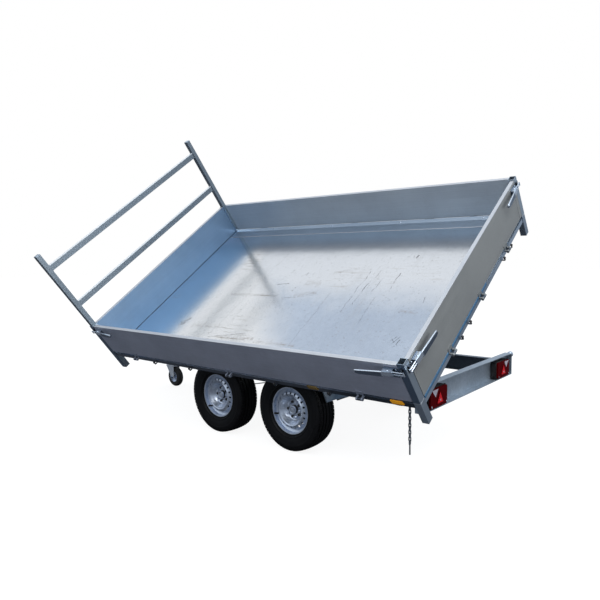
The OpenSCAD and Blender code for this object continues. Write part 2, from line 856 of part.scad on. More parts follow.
module jockey_tube() {
    inner = jockey_tube_r - jockey_tube_wall;
    clamp_x = jockey_ahead + jockey_clamp_h / 2;
    clamp_y = leg_y(clamp_x) - leg_width / 2 / cos(leg_turn);
    color(zinc) {
        difference() {
            union() {
                bar_z(jockey_tube_r, [jockey_tube_low, jockey_tube_top], jockey_ahead, 0);
                span([jockey_ahead - jockey_clamp_h / 2, clamp_x], [0, clamp_y],
                     [leg_top - jockey_clamp_h, leg_top - jockey_clamp_t]);
            }
            bar_z(inner, [jockey_tube_low - overrun, jockey_tube_top - jockey_tube_r], jockey_ahead, 0);
        }
        bar_z(jockey_crank_r * 2, [jockey_tube_top, jockey_tube_top + jockey_tube_r], jockey_ahead, 0);
        bar_x(jockey_crank_r, [jockey_ahead, jockey_ahead + jockey_crank], 0,
              jockey_tube_top + jockey_tube_r - jockey_crank_r);
        bar_z(jockey_knob_r, [jockey_tube_top + jockey_tube_r, jockey_tube_top + jockey_tube_r + jockey_knob],
              jockey_ahead + jockey_crank, 0);
        bar_z(jockey_crank_r, [jockey_tube_top + jockey_tube_r - 2 * jockey_crank_r, jockey_tube_top + jockey_tube_r],
              jockey_ahead + jockey_crank, 0);
    }
}

module jockey_fork() {
    stem_r = jockey_tube_r - jockey_tube_wall - slip_gap;
    cheek = jockey_wheel_w / 2 + jockey_fork_gap;
    crown_z = jockey_crown_z;
    color(zinc) {
        bar_z(stem_r, [crown_z, jockey_tube_top - 2 * jockey_tube_r], jockey_ahead, 0);
        span([jockey_wheel_x - jockey_fork_w / 2, jockey_ahead + stem_r], [-cheek - jockey_fork_t, cheek + jockey_fork_t],
             [crown_z - jockey_crown, crown_z + overrun]);
        both_sides()
            push_y([cheek, cheek + jockey_fork_t])
                polygon([[jockey_wheel_x - jockey_fork_w / 2, jockey_r - jockey_hub_r],
                         [jockey_wheel_x + jockey_fork_w / 2, jockey_r - jockey_hub_r],
                         [jockey_ahead + stem_r, crown_z], [jockey_wheel_x - jockey_fork_w / 2, crown_z]]);
        bar_y(jockey_pin_r, [-cheek - jockey_fork_t * 2, cheek + jockey_fork_t * 2], jockey_wheel_x, jockey_r);
    }
}

module jockey_tyre() {
    wall = jockey_r - jockey_rim_r;
    color(rubber_black)
        translate([jockey_wheel_x, 0, jockey_r]) rotate([-90, 0, 0])
            rotate_extrude()
                translate([jockey_rim_r, -jockey_wheel_w / 2]) {
                    square([wall / 2, jockey_wheel_w]);
                    translate([wall / 2, wall / 2]) circle(r = wall / 2);
                    translate([wall / 2, jockey_wheel_w - wall / 2]) circle(r = wall / 2);
                    translate([0, wall / 2]) square([wall, jockey_wheel_w - wall]);
                }
}

module jockey_rim() {
    color(zinc)
        translate([jockey_wheel_x, 0, jockey_r]) rotate([-90, 0, 0])
            rotate_extrude() {
                translate([jockey_rim_r - jockey_fork_t, -jockey_wheel_w / 2])
                    square([jockey_fork_t, jockey_wheel_w]);
                translate([jockey_hub_r - overrun, -jockey_fork_t])
                    square([jockey_rim_r - jockey_hub_r, 2 * jockey_fork_t]);
                translate([jockey_pin_r + bearing_gap, -jockey_wheel_w / 2])
                    square([jockey_hub_r - jockey_pin_r - bearing_gap, jockey_wheel_w]);
            }
}

module pump_box() {
    color(plastic_black)
        translate([box_rear, -box_width / 2, leg_top]) {
            for (x = [box_round, box_length - box_round - leg_width])
                translate([x, (box_width - box_skid_width) / 2, 0]) cube([leg_width, box_skid_width, box_skid]);
            translate([0, 0, box_skid])
                linear_extrude(height = box_height - box_lid - box_skid) round_rect(box_length, box_width, box_round);
            translate([-box_lid_lip, -box_lid_lip, box_height - box_lid])
                linear_extrude(height = box_lid)
                    round_rect(box_length + 2 * box_lid_lip, box_width + 2 * box_lid_lip, box_round);
        }
}

// Hanging chain with the spare locking pin on its end

module chain_link() {
    hole = chain_half - chain_wire;
    reach = chain_pitch / 2 + slip_gap;
    outer = chain_half + chain_wire;
    push_y([-chain_wire, chain_wire])
        difference() {
            union() {
                translate([-outer, hole - reach]) square([2 * outer, 2 * (reach - hole)]);
                for (z = [hole - reach, reach - hole]) translate([0, z]) circle(r = outer);
            }
            translate([-hole, -reach]) square([2 * hole, 2 * reach]);
        }
}

module locking_chain() {
    first = chain_top + chain_wire - chain_pitch / 2;
    end = first - chain_pitch * (chain_links - 0.5) - 2 * chain_wire;
    color(zinc) {
        bar_x(chain_wire, [rear_beam_x, chain_x + chain_eye_r], chain_y, chain_top);
        for (i = [0:chain_links - 1])
            translate([chain_x, chain_y, first - chain_pitch * i])
                rotate([0, 0, 90 * ((i + 1) % 2)]) chain_link();
        bar_z(chain_pin_r, [end - chain_pin, end + chain_wire], chain_x, chain_y);
    }
}

// Tipping cylinder

ram_head_level = [0, floor_z - ram_head_drop];
ram_head_turn = [ram_head_level[0] - tip_y, ram_head_level[1] - tip_height];
ram_head = [tip_y + ram_head_turn[0] * cos(tip_angle) + ram_head_turn[1] * sin(tip_angle),
            tip_height - ram_head_turn[0] * sin(tip_angle) + ram_head_turn[1] * cos(tip_angle)];
ram_out = norm([ram_head[0], ram_head[1] - ram_trunnion_z]);
ram_in = ram_head_level[1] - ram_trunnion_z;
ram_lean = atan2(ram_head[0], ram_head[1] - ram_trunnion_z);
ram_stroke = (ram_out - ram_in) / ram_stages;

// Outer radius of the barrel (0) and of each stage.
function ram_r(stage) = ram_barrel_r - stage * (ram_wall + slip_gap);

// Lean the cylinder's own axis, drawn upright over the trunnion.
module leaned() {
    translate([ram_x, 0, ram_trunnion_z]) rotate([-ram_lean, 0, 0]) children();
}

module cylinder_barrel() {
    color(plastic_black) leaned() {
        difference() {
            union() {
                translate([0, 0, -ram_barrel_down]) cylinder(r = ram_barrel_r, h = ram_barrel_down + ram_barrel_up);
                bar_x(ram_pin_r, [-ram_barrel_r - ram_pin_reach, ram_barrel_r + ram_pin_reach], 0, 0);
            }
            translate([0, 0, -ram_barrel_down + ram_wall])
                cylinder(r = ram_r(0) - ram_wall, h = ram_barrel_down + ram_barrel_up);
        }
    }
}

module cylinder_stage(stage) {
    foot = -ram_barrel_down + ram_wall + slip_gap + stage * ram_foot_step;
    last = stage == ram_stages;
    top = last ? ram_stage_top : ram_barrel_up + stage * ram_collar_step;
    color(zinc) leaned() translate([0, 0, stage * ram_stroke])
        difference() {
            union() {
                translate([0, 0, foot]) cylinder(r = ram_r(stage), h = top - foot);
                if (last) {
                    translate([0, 0, top - overrun]) cylinder(r = ram_neck_r, h = ram_in - top);
                    translate([0, 0, ram_in]) sphere(r = ram_head_r);
                } else
                    translate([0, 0, top - ram_collar]) cylinder(r = ram_r(stage) + ram_gland_r, h = ram_collar);
            }
            if (!last)
                translate([0, 0, foot - overrun])
                    cylinder(r = ram_r(stage) - ram_wall, h = top - foot + 2 * overrun);
        }
}

// Gimbal ring round the barrel, with its pins and the two hanger plates between the cradle beams.
module cylinder_cradle() {
    ring_in = ram_barrel_r + ram_ring_gap;
    ring_out = ring_in + ram_ring_thick;
    plate_y = ring_out + cradle_plate_gap;
    half = ram_ring_height / 2;
    color(zinc)
        difference() {
            union() {
                bar_z(ring_out, [ram_trunnion_z - half, ram_trunnion_z + half], ram_x, 0);
                bar_y(ram_pin_r, [-plate_y - overrun, plate_y + overrun], ram_x, ram_trunnion_z);
                both_sides()
                    span([ram_x - cradle_half, ram_x + cradle_half], [plate_y, plate_y + cradle_plate],
                         [ram_trunnion_z - cradle_plate_drop, rail_top - 2 * rail_thick]);
            }
            bar_z(ring_in, [ram_trunnion_z - ram_ring_height, ram_trunnion_z + ram_ring_height], ram_x, 0);
            bar_x(ram_pin_r + bearing_gap, [ram_x - ring_out - overrun, ram_x + ring_out + overrun],
                  0, ram_trunnion_z);
        }
}

// Bed

module bed_floor() {
    post_end = bed_front - front_post_x;
    half = bed_side - front_post_y;
    color(floor_zinc) tipped() {
        span([bed_rear + rear_post_x, post_end], [-rail_inner, rail_inner], [floor_z - floor_thick, floor_z]);
        span([post_end - overrun / 4, rack_x - side_thick / 2], [-rail_inner, rail_inner], [floor_z - floor_thick, floor_z]);
        span([post_end, rack_x - side_thick / 2], [-half, half], [floor_z - floor_thick, floor_z]);
    }
}

crossbar_top = floor_z - floor_thick;
crossbar_low = crossbar_top - crossbar_depth;

module bed_beams() {
    color(zinc) tipped() both_sides()
        span([bed_rear + rear_post_x, bed_front - front_post_x],
             [beam_centre - beam_width / 2, beam_centre + beam_width / 2],
             [crossbar_low - beam_height, crossbar_low]);
}

module bed_crossbars() {
    reach = rail_inner;
    bay = (front_ball_x - rear_ball_x) / crossbar_bays;
    places = [for (i = [0:crossbar_bays]) rear_ball_x + bay * i];
    color(zinc) tipped()
        for (x = concat(places, [bed_front - front_post_x - crossbar_width]))
            span([x - crossbar_width / 2, x + crossbar_width / 2], [-reach, reach], [crossbar_low, crossbar_top]);
}

// Edge rail outline: first axis in from the side's outer face, second up from the floor.
module edge_outline(reach, slope) {
    wall_in = side_thick + swing_gap;
    polygon([
        [edge_inset, -edge_depth], [wall_in + reach, -edge_depth], [wall_in + reach, 0],
        [wall_in + slope, 0], [wall_in, lip_rise], [wall_in, -ledge_drop], [edge_inset, -ledge_drop]
    ]);
}

module bed_edge_rails() {
    side_from = bed_rear + rear_post_x;
    side_to = bed_front - front_post_x;
    rear_half = bed_side - rear_post_y - slip_gap;
    rear_reach = rear_post_x - side_thick - swing_gap - slip_gap;
    color(zinc) tipped() {
        both_sides()
            push_x([side_from, side_to])
                translate([bed_side, floor_z]) mirror([1, 0]) edge_outline(side_rail_reach, lip_slope);
        push_y([-rear_half, rear_half])
            translate([bed_rear, floor_z]) edge_outline(rear_reach, rear_reach - slip_gap);
    }
}

// Saddle over one tipping ball, on the left.
module ball_saddle(x) {
    outer = tip_ball_r + socket_gap + socket_wall;
    seat = tip_ball_r + socket_gap;
    difference() {
        union() {
            bar_x(outer, [x - socket_width / 2, x + socket_width / 2], tip_y, tip_height);
            span([x - socket_width / 2, x + socket_width / 2], [tip_y - outer, tip_y + outer],
                 [tip_height, crossbar_low]);
        }
        bar_x(seat, [x - socket_width, x + socket_width], tip_y, tip_height);
        span([x - socket_width, x + socket_width], [tip_y - 2 * outer, tip_y + 2 * outer],
             [tip_height - 2 * outer, tip_height + socket_cut]);
    }
}

module bed_sockets() {
    cup = ram_head_r + head_cup_gap;
    head_z = floor_z - ram_head_drop;
    color(zinc) tipped() {
        both_sides() for (x = [rear_ball_x, front_ball_x]) ball_saddle(x);
        for (s = [-1, 1])
            span(s > 0 ? [ram_x + cup, ram_x + cup + head_cup_wall] : [ram_x - cup - head_cup_wall, ram_x - cup],
                 [-head_cup_length / 2, head_cup_length / 2], [head_z - ram_head_r, crossbar_top]);
    }
}

module front_wall() {
    half = bed_side - front_post_y;
    color(panel_grey) tipped()
        span([bed_front - front_post_x / 2 - side_thick / 2, bed_front - front_post_x / 2 + side_thick / 2],
             [-half, half], [floor_z - edge_depth, side_top]);
}

module front_posts() {
    pocket = rack_tube / 2 + slip_gap;
    color(zinc) tipped() both_sides()
        difference() {
            span([bed_front - front_post_x, bed_front], [bed_side - front_post_y, bed_side],
                 [floor_z - front_post_drop, side_top]);
            span([rack_x - pocket, rack_x + pocket], [rack_y - pocket, rack_y + pocket],
                 [floor_z, side_top + overrun]);
        }
}

rack_bar_depth = 25;
rack_bar_heights = [528, 901];

module ladder_rack() {
    half = rack_tube / 2;
    color(zinc) tipped() {
        both_sides()
            span([rack_x - half, rack_x + half], [rack_y - half, rack_y + half], [floor_z, floor_z + rack_height]);
        for (h = rack_bar_heights)
            span([rack_x - rack_bar_depth / 2, rack_x + rack_bar_depth / 2], [half - rack_y, rack_y - half],
                 [floor_z + h - rack_bar_height / 2, floor_z + h + rack_bar_height / 2]);
    }
}

module rear_posts() {
    w = rear_post_wall;
    color(zinc) tipped() both_sides()
        difference() {
            span([bed_rear, bed_rear + rear_post_x], [bed_side - rear_post_y, bed_side],
                 [floor_z, side_top + rear_post_rise]);
            span([bed_rear + w, bed_rear + rear_post_x - w], [bed_side - rear_post_y + w, bed_side - w],
                 [floor_z - overrun, side_top + rear_post_rise + overrun]);
        }
}

module post_pockets() {
    w = rear_post_wall;
    color(zinc) tipped() both_sides()
        difference() {
            span([bed_rear, bed_rear + rear_post_x], [bed_side - rear_post_y, bed_side],
                 [floor_z - rear_post_drop, floor_z]);
            span([bed_rear + w, bed_rear + rear_post_x - w], [bed_side - rear_post_y + w, bed_side - w],
                 [floor_z - rear_post_drop - overrun, floor_z - edge_depth]);
        }
}

module side_reflectors() {
    low = floor_z - reflector_low;
    color(amber) tipped() both_sides()
        for (x = reflector_places)
            push_y([bed_side - edge_inset, bed_side - edge_inset + reflector_thick])
                polygon([[x - reflector_length / 2, low], [x + reflector_length / 2 - reflector_slant, low],
                         [x + reflector_length / 2, low + reflector_height],
                         [x - reflector_length / 2 + reflector_slant, low + reflector_height]]);
}

// Hinges of the drop sides. Drawn for a pin along X at the left side: first the fixed eye, then the moving strap.
pin_y = bed_side + hinge_out;
pin_z = floor_z - hinge_down;

module hinge_fixed(x) {
    difference() {
        union() {
            bar_x(hinge_knuckle_r, [x - hinge_eye / 2, x + hinge_eye / 2], pin_y, pin_z);
            span([x - hinge_eye / 2, x + hinge_eye / 2], [bed_side - edge_inset, pin_y],
                 [pin_z - hinge_arm, pin_z + hinge_arm - overrun]);
        }
        bar_x(hinge_pin_r + bearing_gap, [x - hinge_eye, x + hinge_eye], pin_y, pin_z);
    }
}

module hinge_moving(x) {
    from = hinge_eye / 2 + slip_gap;
    to = from + hinge_knuckle;
    for (s = [-1, 1]) {
        range = s > 0 ? [x + from, x + to] : [x - to, x - from];
        bar_x(hinge_knuckle_r, range, pin_y, pin_z);
        span(range, [bed_side, pin_y], [pin_z, pin_z + hinge_knuckle_r]);
        span(range, [bed_side, bed_side + hinge_strap_thick], [pin_z, pin_z + hinge_strap_height]);
    }
    bar_x(hinge_pin_r, [x - to, x + to], pin_y, pin_z);
    span([x - to, x + to], [bed_side, bed_side + hinge_strap_thick],
         [pin_z + hinge_strap_height / 2, pin_z + hinge_strap_height]);
}

side_hinges = [bed_rear + side_hinge_end, bed_ahead, bed_front - side_hinge_end];
gate_hinges = [-bed_side + gate_hinge_end, 0, bed_side - gate_hinge_end];

// Moves what is drawn at the left side, along X, to the rear gate, along Y.
module at_gate() {
    translate([bed_rear, 0, 0]) rotate([0, 0, 90]) translate([0, -bed_side, 0]) children();
}

// Over-centre latch on the left side: u runs in from the side's end, its base flat on the outer face.
latch_low = side_top - latch_top_gap - latch_height;
latch_mid = latch_low + latch_height * 0.62;
bail_out = 2 * keeper_r + keeper_gap + bail_r;

module latch() {
    cheek_from = latch_base * 0.3;
    top = latch_mid + lever_wide / 2;
    low = latch_mid - lever_wide / 2;
    translate([0, bed_side, 0]) {
        push_y([0, latch_sheet])
            translate([0, latch_low]) round_rect(latch_base, latch_height, latch_height / 6);
        for (z = [latch_low + latch_cheek_low, top])
            span([cheek_from, latch_base], [latch_sheet - overrun, latch_cheek], [z, z + latch_sheet]);
        for (z = [latch_mid - bail_half, latch_mid + bail_half])
            bar_x(bail_r, [-latch_reach, latch_pivot], bail_out, z);
        bar_z(bail_end_r, [latch_mid - bail_half - bail_end_r, latch_mid + bail_half + bail_end_r], -latch_reach, bail_out);
        bar_z(latch_pivot_r, [latch_low + latch_cheek_low, top + overrun], latch_pivot, bail_out);
        translate([0, bail_out, 0])
            rotate([0, 0, atan(lever_lift / lever_length)]) {
                push_y([0, lever_thick])
                    polygon([[cheek_from, low], [latch_base, low], [lever_length, top - lever_tip],
                             [lever_length, top], [cheek_from, top]]);
                push_y([-lever_skirt, overrun])
                    polygon([[latch_base, low], [lever_length, top - lever_tip],
                             [lever_length, top - lever_tip + latch_sheet], [latch_base, low + latch_sheet]]);
            }
    }
}

// Keeper on the post, under the latch's bail, drawn at u = 0 like the latch.
module keeper() {
    u = -latch_reach / 2 - post_gap;
    bar_z(keeper_r, [latch_mid - keeper_half, latch_mid + keeper_half], u, bed_side + keeper_r);
    span([u - 2 * keeper_r, u + 2 * keeper_r], [bed_side, bed_side + keeper_plate],
         [latch_mid - keeper_half, latch_mid + keeper_half]);
}

// The side's ends: [place, direction inward] of the left side, and of the gate once it is drawn along X.
side_ends = [[bed_rear + rear_post_x + post_gap, 1], [bed_front - front_post_x - post_gap, -1]];
gate_half = bed_side - rear_post_y - post_gap;
gate_ends = [[-gate_half, 1], [gate_half, -1]];

module at_end(end) {
    translate([end[0], 0, 0]) mirror([end[1] > 0 ? 0 : 1, 0, 0]) children();
}

// Rope hook under the edge rail, on the left.
module rope_hook(x) {
    y = bed_side - edge_inset;
    z = floor_z - edge_depth;
    bar_y(hook_r, [y - hook_r, y + hook_out], x, z - hook_r);
    bar_z(hook_r, [z - hook_r, z - hook_r + hook_drop], x, y + hook_out);
}

module bed_fittings() {
    color(zinc) tipped() {
        both_sides() {
            for (x = side_hinges) hinge_fixed(x);
            for (end = side_ends) at_end(end) keeper();
            for (x = hook_places_x) rope_hook(x);
        }
        at_gate() {
            for (y = gate_hinges) hinge_fixed(y);
            for (end = gate_ends) at_end(end) keeper();
            for (y = hook_places_y) rope_hook(y);
        }
    }
}

module side_panel() {
    span([side_ends[0][0], side_ends[1][0]], [bed_side - side_thick, bed_side], [side_bottom, side_top]);
}

module side_fittings() {
    for (x = side_hinges) hinge_moving(x);
    for (end = side_ends) at_end(end) latch();
}

module left_side() {
    color(panel_grey) tipped() side_panel();
}
module left_side_fittings() {
    color(zinc) tipped() side_fittings();
}
module right_side() {
    color(panel_grey) tipped() mirror([0, 1, 0]) side_panel();
}
module right_side_fittings() {
    color(zinc) tipped() mirror([0, 1, 0]) side_fittings();
}
module tailgate() {
    color(panel_grey) tipped()
        span([bed_rear, bed_rear + side_thick], [-gate_half, gate_half], [side_bottom, side_top]);
}
module tailgate_fittings() {
    color(zinc) tipped() at_gate() {
        for (y = gate_hinges) hinge_moving(y);
        for (end = gate_ends) at_end(end) latch();
    }
}

chassis_rails();
drawbar_legs();
crossmembers();
rear_beam();
tip_balls();
lamp_housings();
lamp_red_lenses();
lamp_clear_lenses();
axle_tubes();
swing_arms();
mudguards();
overrun_housing();
overrun_bellows();
coupling_head();
handbrake_lever();
brake_linkage();
jockey_tube();
pump_box();
cylinder_cradle();
locking_chain();
tyre(axle_x, 1);  // front_left_tyre
rim(axle_x, 1);  // front_left_rim
hub(axle_x, 1);  // front_left_hub
tyre(axle_x, -1);  // front_right_tyre
rim(axle_x, -1);  // front_right_rim
hub(axle_x, -1);  // front_right_hub
tyre(-axle_x, 1);  // rear_left_tyre
rim(-axle_x, 1);  // rear_left_rim
hub(-axle_x, 1);  // rear_left_hub
tyre(-axle_x, -1);  // rear_right_tyre
rim(-axle_x, -1);  // rear_right_rim
hub(-axle_x, -1);  // rear_right_hub
jockey_fork();
jockey_tyre();
jockey_rim();
cylinder_barrel();
cylinder_stage(1);  // cylinder_stage_1
cylinder_stage(2);  // cylinder_stage_2
cylinder_stage(3);  // cylinder_stage_3
bed_floor();
bed_beams();
bed_crossbars();
bed_edge_rails();
bed_sockets();
front_wall();
front_posts();
ladder_rack();
rear_posts();
post_pockets();
side_reflectors();
bed_fittings();
left_side();
left_side_fittings();
right_side();
right_side_fittings();
tailgate();
tailgate_fittings();
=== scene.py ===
"""Three-way tipper trailer, its bed tipped to the left: finishes and small pieces."""
import json
import math

import bpy
from mathutils import Matrix, Vector


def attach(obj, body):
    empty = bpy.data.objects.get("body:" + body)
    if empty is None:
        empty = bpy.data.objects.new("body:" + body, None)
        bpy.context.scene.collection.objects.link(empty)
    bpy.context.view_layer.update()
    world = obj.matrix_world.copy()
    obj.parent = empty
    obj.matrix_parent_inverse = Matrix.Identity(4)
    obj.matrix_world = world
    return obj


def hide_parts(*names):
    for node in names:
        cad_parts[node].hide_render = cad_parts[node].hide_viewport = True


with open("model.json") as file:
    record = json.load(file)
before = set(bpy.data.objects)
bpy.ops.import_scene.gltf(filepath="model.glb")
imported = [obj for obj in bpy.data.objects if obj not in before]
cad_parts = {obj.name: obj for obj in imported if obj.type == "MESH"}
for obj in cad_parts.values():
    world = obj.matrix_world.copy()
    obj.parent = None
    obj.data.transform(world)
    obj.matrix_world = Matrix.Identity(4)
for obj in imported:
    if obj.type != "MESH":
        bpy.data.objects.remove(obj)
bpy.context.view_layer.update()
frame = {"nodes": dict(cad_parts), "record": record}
nodes = frame["nodes"]
bpy.ops.object.select_all(action="DESELECT")

# The bed's sizes while it is level, the turn that tips it and the shift for turning it back
TIP = math.radians(36.0)
TIP_Y, TIP_Z = 0.749, 0.570
TIPPED = (Matrix.Translation((0.0, TIP_Y, TIP_Z)) @ Matrix.Rotation(-TIP, 4, "X")
          @ Matrix.Translation((0.0, -TIP_Y, -TIP_Z)))
LEVEL_SHIFT = (0.0, 0.4781, -0.3314)
SIDES = ("left", 1), ("right", -1)
FLOOR = 0.707
BED_REAR, BED_SIDE = -1.547, 0.953
BED_MIDDLE, BED_LONG, BED_WIDE = 0.029, 3.152, 1.906
SIDE_TOP, SIDE_LOW, WALL = 1.011, 0.718, 0.025
SIDE_FROM, SIDE_TO = -1.498, 1.541
GATE_HALF, GATE_END, FRONT_HALF = 0.899, 0.042, 0.907
SEAM_Y, SEAM_FROM, SEAM_TO = 0.793, BED_REAR + 0.046, 1.544
JOINT_FROM, JOINT_TO, JOINT_HALF = 1.5595, 1.5630, 0.905

# Ladder rack: its uprights, and the middle heights of its two bars
RACK_X, RACK_Y, RACK_TOP = 1.575, 0.930, FLOOR + 1.040
RACK_BARS = FLOOR + 0.528, FLOOR + 0.901
BAR_HALF, BAR_END = 0.025, RACK_Y - 0.020

# Latches: base plate below the wall's top, pivot pin and lever
LATCH_DROP, LATCH_TALL = 0.022, 0.072
LATCH_LOW = SIDE_TOP - LATCH_DROP - LATCH_TALL
PIN_Z = LATCH_LOW + LATCH_TALL * 0.62 + 0.019
LEVER_TOP = SIDE_TOP - 0.0344

# Rope hooks under the bed's edges, as shares of its length and width
HOOK_X, HOOK_Y, HOOK_Z = -1.559, 0.965, 0.676
SIDE_HOOKS, REAR_HOOKS = (-0.29, -0.14, 0.15, 0.295), (-0.31, -0.231, 0.118, 0.192)

# Wheels: axles, track and radius, and how far the tread falls off to its shoulders
AXLE_X, WHEEL_Y, WHEEL_R, CROWN = 0.385, 0.739, 0.296, 0.9
WHEELS = {"front_left": (AXLE_X, 1), "front_right": (AXLE_X, -1),
          "rear_left": (-AXLE_X, 1), "rear_right": (-AXLE_X, -1)}

# Rear lamps, with outlines on the left one as y and z
LENS_X, LENS_BACK_X = -1.418, -1.400
LAMP_IN, LAMP_OUT, LAMP_LOW, LAMP_TOP = 0.418, 0.646, 0.426, 0.554
REFLEX_TRIANGLE = (0.4835, 0.4525), (0.5605, 0.4525), (0.522, 0.5195)
CLEAR_WINDOW = (0.544, 0.545), (0.624, 0.545), (0.579, 0.496)
LENS_CORNER = (0.637, 0.545), (0.541, 0.545), (0.637, 0.479)

# Chassis rails, drawbar legs from above, and the pump box
RAIL_Y = 0.530
LEG_REAR, LEG_FRONT = Vector((0.640, 0.498)), Vector((2.560, 0.070))
BOX_LOW, BOX_HIGH = Vector((1.689, -0.190, 0.457)), Vector((1.989, 0.190, 0.699))

# Colours of the studio, as everything but the camera finds it, and of road dirt
DOME_SIDE, DOME_TOP = (0.26, 0.30, 0.36), (0.90, 0.97, 1.06)
GROUND = (0.080, 0.085, 0.098)
DIRT = (0.16, 0.145, 0.125)


# Shader building blocks

class Shader:
    """Adds nodes to one tree. A socket takes a number, a colour or another node's output."""

    def __init__(self, tree):
        self.tree = tree

    def feed(self, socket, value):
        if not isinstance(value, (int, float, tuple)):
            self.tree.links.new(value, socket)
        elif socket.type == "RGBA":
            socket.default_value = (*value, 1.0)
        else:
            socket.default_value = value

    def node(self, kind, *values, **named):
        """A node with sockets and properties set by name, and its first sockets fed in order."""
        node = self.tree.nodes.new(kind)
        for key, value in named.items():
            label = key.replace("_", " ")
            if label in node.inputs:
                self.feed(node.inputs[label], value)
            else:
                setattr(node, key, value)
        for socket, value in zip(node.inputs, values):
            self.feed(socket, value)
        return node

    def group(self, tree, **values):
        return self.node("ShaderNodeGroup", node_tree=tree, **values).outputs

    def math(self, operation, *values, clamp=False):
        return self.node("ShaderNodeMath", *values, operation=operation, use_clamp=clamp).outputs[0]

    def add(self, a, b, clamp=False):
        return self.math("ADD", a, b, clamp=clamp)

    def sub(self, a, b, clamp=False):
        return self.math("SUBTRACT", a, b, clamp=clamp)

    def mul(self, a, b, clamp=False):
        return self.math("MULTIPLY", a, b, clamp=clamp)

    def scaled(self, value, by, plus):
        return self.math("MULTIPLY_ADD", value, by, plus)

    def size(self, value):
        return self.math("ABSOLUTE", value)

    def ramp(self, source, low, high, out_low=0.0, out_high=1.0):
        """Smooth step of a value between two limits."""
        node = self.node("ShaderNodeMapRange", interpolation_type="SMOOTHSTEP", Value=source,
                         From_Min=low, From_Max=high, To_Min=out_low, To_Max=out_high)
        return node.outputs["Result"]

    def blend(self, factor, a, b):
        """Mix of two colours."""
        node = self.node("ShaderNodeMix", factor, data_type="RGBA")
        self.feed(node.inputs[6], a)
        self.feed(node.inputs[7], b)
        return node.outputs[2]

    def place(self, tilt=(0.0, 0.0, 0.0), shift=(0.0, 0.0, 0.0)):
        """Object coordinates, turned and shifted."""
        spot = self.node("ShaderNodeTexCoord").outputs["Object"]
        return self.node("ShaderNodeMapping", spot, Rotation=tilt, Location=shift).outputs["Vector"]

    def level(self, scale=None):
        """Object coordinates turned back to the level bed: X along it, Y across it and Z up."""
        level = self.place((TIP, 0.0, 0.0), LEVEL_SHIFT)
        if scale is None:
            return level
        return self.node("ShaderNodeVectorMath", level, scale, operation="MULTIPLY").outputs[0]

    def axes(self, vector):
        return self.node("ShaderNodeSeparateXYZ", vector).outputs

    def noise(self, vector, scale, detail=3.0, rough=0.55):
        node = self.node("ShaderNodeTexNoise", Vector=vector, Scale=scale, Detail=detail,
                         Roughness=rough)
        return node.outputs["Fac"]


FINISHES = {}


class Material(Shader):
    """A finish round its Principled BSDF, kept in FINISHES under its name."""

    def __init__(self, name, **values):
        material = FINISHES[name] = bpy.data.materials.new(name)
        material.use_nodes = True
        super().__init__(material.node_tree)
        self.bsdf = self.tree.nodes["Principled BSDF"]
        self.set(**values)

    def set(self, **values):
        for key, value in values.items():
            self.feed(self.bsdf.inputs[key.replace("_", " ")], value)

    def bump(self, height, strength, distance=0.001):
        node = self.node("ShaderNodeBump", Strength=strength, Distance=distance, Height=height)
        self.set(Normal=node.outputs["Normal"])


# Shared effects

def start_group(name, inputs, outputs):
    tree = bpy.data.node_groups.new(name, "ShaderNodeTree")
    for label, value in inputs.items():
        socket = tree.interface.new_socket(label, in_out="INPUT", socket_type="NodeSocketFloat")
        socket.default_value = value
    for label in outputs:
        tree.interface.new_socket(label, in_out="OUTPUT", socket_type="NodeSocketFloat")
    given, out = tree.nodes.new("NodeGroupInput"), tree.nodes.new("NodeGroupOutput")
    return Shader(tree), given.outputs, out.inputs


def make_spangle():
    """Zinc crystals: flat grains of slightly different brightness, with cloudy patches over them."""
    sockets = {"Grain": 60.0, "Patch": 2.5, "Crystals": 0.4}
    shader, given, out = start_group("zinc_spangle", sockets, ["Tone", "Gloss"])
    place = shader.place()
    cells = shader.node("ShaderNodeTexVoronoi", Vector=place, Scale=given["Grain"])
    grain = shader.node("ShaderNodeSeparateColor", cells.outputs["Color"]).outputs
    cloud = shader.ramp(shader.noise(place, given["Patch"], 5.0, 0.6), 0.3, 0.7)
    crystal = shader.mul(shader.sub(grain[0], 0.5), given["Crystals"])
    shader.feed(out["Tone"], shader.add(shader.scaled(cloud, 0.6, 0.2), crystal, clamp=True))
    shader.feed(out["Gloss"], grain[1])
    return shader.tree


def make_grime():
    """Road dirt: blotches that thin out with height above the ground."""
    shader, given, out = start_group("road_grime", {"Amount": 0.5, "Reach": 0.7}, ["Mask"])
    place = shader.place()
    coarse = shader.noise(place, 7.0, 6.0, 0.65)
    fine = shader.noise(place, 46.0, 3.0, 0.6)
    blotches = shader.mul(coarse, shader.add(fine, 0.5))
    height = shader.math("DIVIDE", shader.axes(place)["Z"], given["Reach"])
    fade = shader.sub(1.0, height, clamp=True)
    mask = shader.ramp(shader.add(shader.mul(fade, 0.35), blotches), 0.42, 0.95)
    shader.feed(out["Mask"], shader.mul(mask, given["Amount"], clamp=True))
    return shader.tree


def make_brushing():
    """Fine lines drawn along the length of an extruded panel, over slow changes of tone."""
    shader, given, out = start_group("brushed_lines", {"Along X": 1.0}, ["Lines", "Cloud"])
    long, fine = 1.2, 190.0
    along = shader.noise(shader.level((long, fine, fine)), 1.0, 4.0, 0.7)
    across = shader.noise(shader.level((fine, long, fine)), 1.0, 4.0, 0.7)
    lines = shader.node("ShaderNodeMix", given["Along X"], data_type="FLOAT")
    shader.feed(lines.inputs[2], across)
    shader.feed(lines.inputs[3], along)
    shader.feed(out["Lines"], shader.ramp(lines.outputs[0], 0.25, 0.75))
    shader.feed(out["Cloud"], shader.ramp(shader.noise(shader.level(), 2.2), 0.3, 0.7))
    return shader.tree


